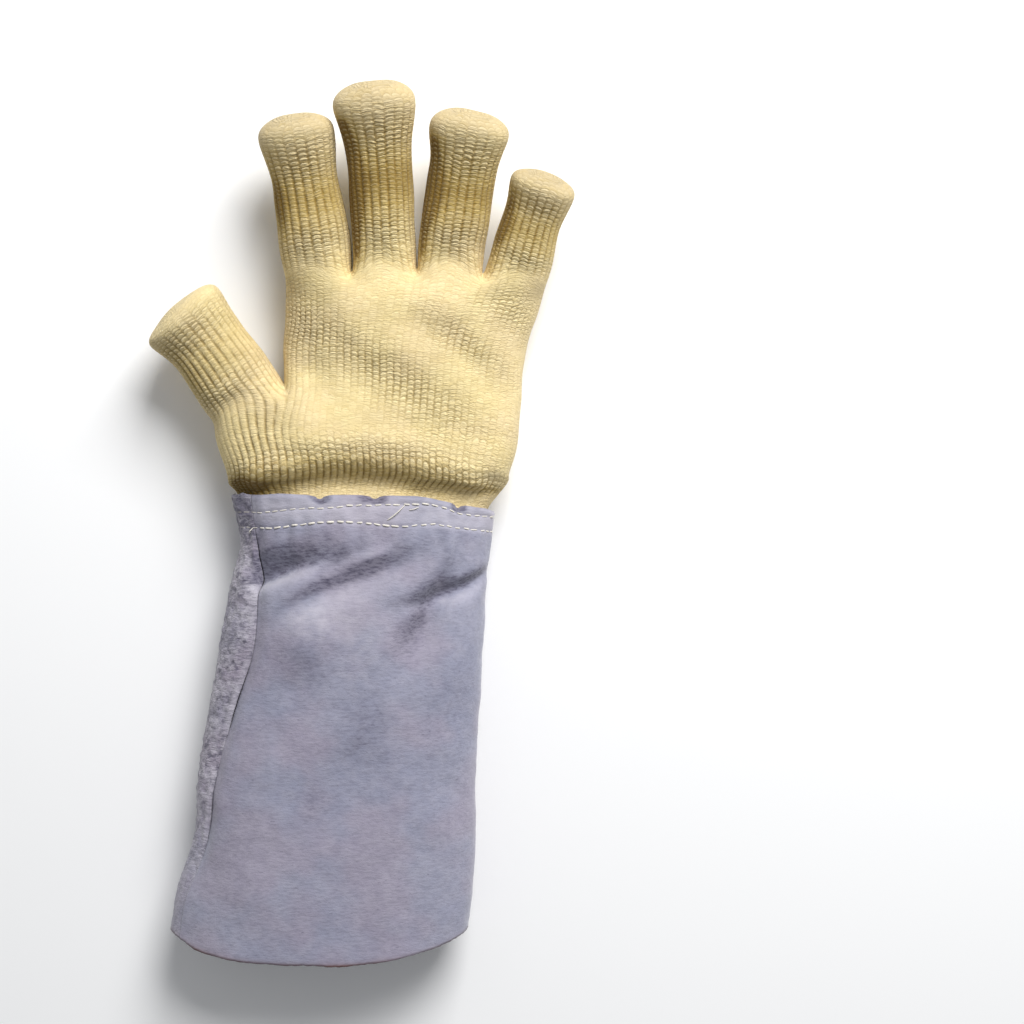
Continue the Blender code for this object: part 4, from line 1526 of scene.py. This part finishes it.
# Noise that breaks up the stains and the painted shade and light of the folds: share, size and start.
SPOT_NOISES = ((0.9, 0.0045, 31), (0.6, 0.0018, 32))
MOTTLE_SIZE = 0.0040


def stains_and_painted_shade(turn, along, at):
    """How dark the nap is from stains and painted shade, paler with painted light, and never with a clean outline.
    """
    reach = along * CUFF_LENGTH
    dark = sum(nap_spot.dark * spot_at(turn, along, nap_spot) for nap_spot in STAINS_AND_FOLD_SHADES)
    # Painted shade in the dimples where the top edge dips.
    for dimple in EDGE_DIMPLES:
        if dimple.dip > 0:
            spread = bump_at(turn % 360, dimple.turn, dimple.half_turn)
            dark = dark + DIMPLE_PAINTED_SHADE * spread * bump_at(reach, *DIMPLE_SHADE_REACH)
    broken = 1 + sum(share * clouds(at, size, start) for share, size, start in SPOT_NOISES)
    mottle = BAND_MOTTLE * clouds(at, MOTTLE_SIZE, seed=33) * bump_at(reach, BAND_REACH, 2 * BAND_REACH)
    return dark * np.clip(broken, 0, 2) + mottle


def shade_panel(panel, turn, along, points, from_thumb, coarse, on_back):
    """Stores the four numbers. Slopes facing the fingers and the lamp get painted light, the others painted shade.
    """
    reach = along * CUFF_LENGTH
    # Painted light and shade by slope: facing the lamp paints the nap paler, facing away darker.
    tilt = np.gradient(dents_at(wrapped(turn), along), axis=0) / np.gradient(reach, axis=0) / FULL_TILT
    tilt = np.where(tilt > 0, LIT_TILT, 1.0) * tilt
    open_seam = smooth_through(SEAM_SHADES, along)[..., 0]
    # Painted shade in the crease of the thumb-side seam, weaker on the back panel.
    seam_shade = (PALE_SEAM_SHARE if on_back else 1.0) * open_seam * bump_at(from_thumb, 0, SEAM_SHADE_WIDTH)
    # Painted light on the bulging band along the top edge, and a painted highlight on the back panel's seam lip.
    pale = BAND_PAINTED_LIGHT * np.exp(-(((reach - BAND_REACH) / BAND_REACH) ** 4))
    if on_back:
        pale = pale + LIP_PAINTED_HIGHLIGHT * open_seam * bump_at(from_thumb, SEAM_LIP_WIDTH, SEAM_LIP_WIDTH)
    dark = stains_and_painted_shade(turn, along, points)
    point_values(panel, "crushed", np.clip(seam_shade + dark - tilt, 0, 1))
    point_values(panel, "raised", np.clip(tilt + pale - dark, 0, 1))
    point_values(panel, "coarse", coarse)
    point_values(panel, "hem", np.exp(-(1 - along) * CUFF_LENGTH / CUT_EDGE_REACH))


print("a slope of", round(math.degrees(math.atan(FULL_TILT)), 1), "degrees away from the lamp is fully crushed")

# %% [markdown]
# ### Cutting and seaming the panels
# A panel's grid runs from one seam round to the other. Its rows crowd towards the top edge, where the folds are.
# Along the thumb-side seam the back panel's edge stands up as a small lip and the palm panel's sinks under it.
# The back panel is rougher, and calmer again towards the hem. The hem is cut by hand, so it waves a little.

# %% Panels
GRID_SIDE = 0.0011
PANEL_ROWS = 235
ROWS_CROWD_UPWARDS = 1.35
COARSE_ROUGHNESS = 0.00060
COARSE_LOSS = 0.7
SEAM_LIP_HEIGHT = 0.0010
SEAM_LIP_PLACE = 1.3
SEAM_SINK = 0.0005

# Waves of the hem: height, size as a share of the cuff's half-width, and the noise's start.
HEM_WAVES = ((0.0012, 0.25, 2), (0.0004, 0.03, 3))

# The way round a rounded section, as a share of the way round its box.
ROUND_SHARE = 0.95


def panel_grid(first_side, last_side, on_back):
    """Turn and along of each point of a panel, and its way from the thumb-side seam."""
    along = np.linspace(0, 1, PANEL_ROWS + 1) ** ROWS_CROWD_UPWARDS
    seams = smooth_through(SEAM_TURNS, along)
    first = seams[:, first_side]
    last = seams[:, last_side]
    last = np.where(last < first, last + 360, last)
    span = last - first
    box_round = 2 * (CUFF_TOP_WIDTH + CUFF_TOP_DEPTH)
    columns = int(round(span.mean() / 360 * box_round * ROUND_SHARE / GRID_SIDE))
    turn = blend(first[:, None], last[:, None], np.linspace(0, 1, columns + 1)[None, :])
    from_seam = (turn - first[:, None]) / span[:, None]
    from_thumb = (from_seam if on_back else 1 - from_seam) * span[:, None] * GRID_SIDE * columns / span.mean()
    along = np.broadcast_to(along[:, None], turn.shape)
    hem = np.stack([np.cos(np.radians(turn)), np.sin(np.radians(turn)), np.zeros_like(turn)], -1)
    wave = sum(height * clouds(hem, size, start) for height, size, start in HEM_WAVES)
    return turn, along + wave / CUFF_LENGTH * along**8, from_thumb


def measured(points):
    """Longest row, longest column and area of a grid of points."""
    width = np.linalg.norm(np.diff(points, axis=1), axis=-1).sum(1).max()
    length = np.linalg.norm(np.diff(points, axis=0), axis=-1).sum(0).max()
    across = points[:-1, 1:] - points[:-1, :-1]
    down = points[1:, :-1] - points[:-1, :-1]
    area = np.linalg.norm(np.cross(across, down), axis=-1).sum()
    return float(width), float(length), float(area)


def make_panel(name, first_side, last_side, on_back):
    """A panel from one seam round to the other. Sides: 0 is the thumb seam, 1 the little-finger seam."""
    turn, along, from_thumb = panel_grid(first_side, last_side, on_back)
    open_seam = smooth_through(SEAM_SHADES, along)[..., 0]
    if on_back:
        lift = SEAM_LIP_HEIGHT * bump_at(from_thumb, SEAM_LIP_PLACE * SEAM_LIP_WIDTH, SEAM_LIP_WIDTH)
        coarse = 1 - COARSE_LOSS * (1 - valley_left(along))
        rough = blend(FINE_ROUGHNESS, COARSE_ROUGHNESS, coarse * (1 - bump_at(from_thumb, 0, SEAM_LIP_WIDTH)))
    else:
        lift = -SEAM_SINK * bump_at(from_thumb, 0, SEAM_LIP_WIDTH)
        coarse = np.zeros_like(along)
        rough = FINE_ROUGHNESS
    points = leather_point(turn, along, lift * open_seam, rough)
    faces = grid_faces(np.arange(turn.size).reshape(turn.shape))
    panel = new_piece(name, points.reshape(-1, 3), faces)
    shade_panel(panel, turn, along, points, from_thumb, coarse, on_back)
    wall = panel.modifiers.new("Wall", "SOLIDIFY")
    wall.thickness = LEATHER_THICKNESS
    wall.offset = -1.0
    wall.use_quality_normals = True
    width, length, area = measured(points)
    print(name, "width", round(width, 4), "length", round(length, 4), "area", round(area, 5), "m, m2")
    return panel, (width, length), area


palm_panel, palm_flat, palm_area = make_panel("palm_suede_panel", 1, 0, False)
back_panel, back_flat, back_area = make_panel("back_suede_panel", 0, 1, True)

# %% [markdown]
# ## Finish of the suede
# Suede is leather with its fibres raised. Its colour is cloudy, bluish here and rosier there, it darkens with
# stains, crushed nap and painted shade, it pales with painted light, and short fibres lie across it. The back panel
# is the coarser side of the hide.

# %% Finish of the suede
SUEDE_BLUE = (0.274, 0.280, 0.368)
SUEDE_ROSY = (0.298, 0.274, 0.353)
SUEDE_PALE = (0.510, 0.485, 0.545)
SUEDE_DEEP = (0.085, 0.078, 0.120)
SUEDE_PINK = (0.360, 0.300, 0.350)
CUT_EDGE = (0.165, 0.085, 0.080)


def suede_finish(name):
    finish = Finish(name, 0.95, sheen=0.35)
    coarse = finish.attribute("coarse")
    place = finish.node("ShaderNodeTexCoord", output="Object")
    lying = finish.node("ShaderNodeMapping", {}, {"Vector": place, "Scale": (0.45, 1.5, 1.0)})
    cloudy = finish.speckle(place, 0.034)
    broad = finish.speckle(place, 0.055, detail=1.0)
    patchy = finish.speckle(place, 0.007, detail=4.0, roughness=0.6)
    blots = finish.speckle(place, 0.004, detail=4.0, roughness=0.6)
    nap = finish.speckle(lying, 0.0017, detail=4.0, roughness=0.65)
    grit = finish.speckle(place, 0.0006, roughness=0.7)
    flecks = finish.speckle(lying, 0.0012, detail=1.0)

    worked = finish.range(nap, 0.60, 0.32)
    crushed = finish.attribute("crushed") * (worked * 0.60 + 0.60)
    finish.colour(
        SUEDE_BLUE,
        (finish.range(cloudy, 0.38, 0.62), SUEDE_ROSY),
        (coarse * 0.35, SUEDE_PINK),
        (finish.range(broad, 0.40, 0.62) * 0.10, SUEDE_PALE),
        (finish.range(patchy, 0.35, 0.72) * (coarse * 0.79 + 0.16), SUEDE_PALE),
        (finish.range(blots, 0.50, 0.32) * (coarse * 0.68 + 0.06), SUEDE_DEEP),
        (finish.range(flecks, 0.68, 0.78) * 0.38, SUEDE_DEEP),
        (worked * (coarse * 0.25 + 0.22), SUEDE_DEEP),
        # Painted shade of folds, seam and dimples, together with the real stains and crushed nap.
        ((crushed * 0.80).clipped(), SUEDE_DEEP),
        # Painted light on slopes that face the lamp, on the band along the top edge and on the seam's lip.
        (finish.attribute("raised") * 0.60, SUEDE_PALE),
        (finish.attribute("hem") * 0.75, CUT_EDGE),
    )
    finish.bump(nap * (coarse * 1.2 + crushed + 0.5) + grit * 0.3 + patchy * 0.4, 0.0005)
    return finish.done()


for panel in (palm_panel, back_panel):
    panel.data.materials.append(suede_finish(panel.name.replace("_", " ")))

# %% [markdown]
# ### Dressing the panels
# Each panel rides on the root and stands in for the plain one.

# %% Dress the panels
PANELS = (
    (palm_panel, "cuff_palm_panel", "palm_suede", palm_flat, palm_area),
    (back_panel, "cuff_back_panel", "back_suede", back_flat, back_area),
)
for panel, node, slot, flat, area in PANELS:
    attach(panel, "root")
    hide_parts(node)
    min(area, flat[0] * flat[1])
    print(panel.name, "stands for", node)

# %% [markdown]
# ## Stitches round the top edge
# Two rows of off-white thread hold the knit in the cuff. Each stitch is a short piece of thread that comes up out
# of the suede, lies on it and dives back in. One small tube is bent along the surface for each stitch, and all of
# them are one mesh.

# %% Thread
THREAD_SIDES = 8
THREAD_END_SHARE = 0.05


def thread_tube(line, radius):
    """A tube along a line of points, drawn in towards its small flat ends."""
    heading = unit(np.gradient(line, axis=0))
    side = unit(np.cross(heading, np.array((0.0, 0.0, 1.0)) + 1e-3))
    up = np.cross(side, heading)
    share = np.linspace(-1, 1, len(line))
    size = radius * np.sqrt(np.clip(1 - share**10, THREAD_END_SHARE, 1))
    angle = np.linspace(0, 2 * np.pi, THREAD_SIDES, endpoint=False)
    ring = np.cos(angle)[None, :, None] * side[:, None] + np.sin(angle)[None, :, None] * up[:, None]
    points = line[:, None] + ring * size[:, None, None]
    ids = np.arange(len(line) * THREAD_SIDES).reshape(len(line), THREAD_SIDES)
    faces = grid_faces(np.concatenate([ids, ids[:, :1]], axis=1)).tolist()
    return points.reshape(-1, 3), faces + [ids[0, ::-1].tolist(), ids[-1].tolist()]


def join_tubes(name, tubes):
    """One piece from many tubes."""
    points = []
    faces = []
    count = 0
    for tube_points, tube_faces in tubes:
        points.append(tube_points)
        faces += [[count + corner for corner in face] for face in tube_faces]
        count += len(tube_points)
    return new_piece(name, np.concatenate(points), faces)


print("a thread has", THREAD_SIDES, "sides")

# %% [markdown]
# ### Sewing the rows
# A machine sews at an even pitch, but the folded leather slips, so lengths, places and thickness vary a little.
# The spread comes from a random generator with a fixed start. A few loose ends of thread lie over the rows.

# %% Rows of stitches
STITCH_LENGTH = 0.0036
STITCH_PITCH = 0.0045
STITCH_STRAY = 0.0002
TURN_STEPS = 4
TUBE_POINTS = 9
THREAD_RISE = 0.80
THREAD_DIVE = 2.2
LOOSE_RADIUS = 0.000216
LOOSE_POINTS = 15

# Loose pieces of thread over the stitches: both ends in degrees round the cuff and distance from its top edge,
# how far the middle sags towards the hem, and how high it arches.
LOOSE_THREADS = table(
    "turn reach end_turn end_reach sag arch",
    (80.5, 0.0115, 73.0, 0.0040, 0.0004, 0.0010),
    (81.0, 0.0120, 73.6, 0.0046, 0.0006, 0.0007),
    (71.5, 0.0065, 67.0, 0.0048, 0.0002, 0.0005),
    (17.0, 0.0040, 12.0, 0.0034, -0.0006, 0.0012),
    (150.0, 0.0160, 153.5, 0.0185, 0.0003, 0.0010),
)


def row_of_stitches(column, seed):
    """Tubes for one row: column 0 is the upper row and 1 the lower one."""
    turn = np.linspace(-90, 270, 360 * TURN_STEPS + 1)
    path_rows = smooth_through(STITCH_PATHS, turn)
    reach = path_rows[:, column]
    radius = path_rows[:, 2 + column]
    path = leather_point(turn, reach / CUFF_LENGTH)
    travelled = np.concatenate([[0], np.linalg.norm(np.diff(path, axis=0), axis=1).cumsum()])
    chance = np.random.default_rng(seed)
    share = np.linspace(-1, 1, TUBE_POINTS)
    tubes = []
    start = 0.0
    while start + STITCH_PITCH < travelled[-1]:
        ways = start + np.linspace(0, STITCH_LENGTH * chance.uniform(0.80, 1.12), TUBE_POINTS)
        stray = (chance.uniform(-1, 1) + share * chance.uniform(-1, 1)) * STITCH_STRAY
        at_reach = np.interp(ways, travelled, reach) + stray
        thickness = np.interp(start, travelled, radius) * chance.uniform(0.80, 1.15)
        lift = thickness * (THREAD_RISE - THREAD_DIVE * share**4)
        line = leather_point(np.interp(ways, travelled, turn), at_reach / CUFF_LENGTH, lift)
        tubes.append(thread_tube(line, thickness))
        start += STITCH_PITCH * chance.uniform(0.93, 1.07)
    return tubes


def loose_thread(loose):
    share = np.linspace(0, 1, LOOSE_POINTS)
    turn = blend(loose.turn, loose.end_turn, share)
    reach = blend(loose.reach, loose.end_reach, share) + loose.sag * np.sin(np.pi * share)
    lift = LOOSE_RADIUS + loose.arch * np.sin(np.pi * share) ** 2
    return thread_tube(leather_point(turn, reach / CUFF_LENGTH, lift), LOOSE_RADIUS)


tubes = row_of_stitches(0, 11) + row_of_stitches(1, 12) + [loose_thread(loose) for loose in LOOSE_THREADS]
stitches = join_tubes("top_edge_stitches", tubes)
print("stitches:", len(tubes) - len(LOOSE_THREADS), "faces:", len(stitches.data.polygons))

# %% [markdown]
# ### Finish of the thread
# Sewing thread is a little smoother than the yarn. A fine mottle stands for its twist.

# %% Finish of the thread
THREAD_TWIST = 0.0005
THREAD_TWIST_DEPTH = 0.0002
THREAD_CREAM = (0.87, 0.83, 0.74)
THREAD_SHADE = (0.60, 0.56, 0.49)


def thread_finish():
    finish = Finish("off-white thread", 0.75, sheen=0.1)
    place = finish.node("ShaderNodeTexCoord", output="Object")
    twist = finish.speckle(place, THREAD_TWIST)
    finish.colour(THREAD_CREAM, (twist, THREAD_SHADE))
    finish.bump(twist, THREAD_TWIST_DEPTH)
    return finish.done()


stitches.data.materials.append(thread_finish())
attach(stitches, "root")
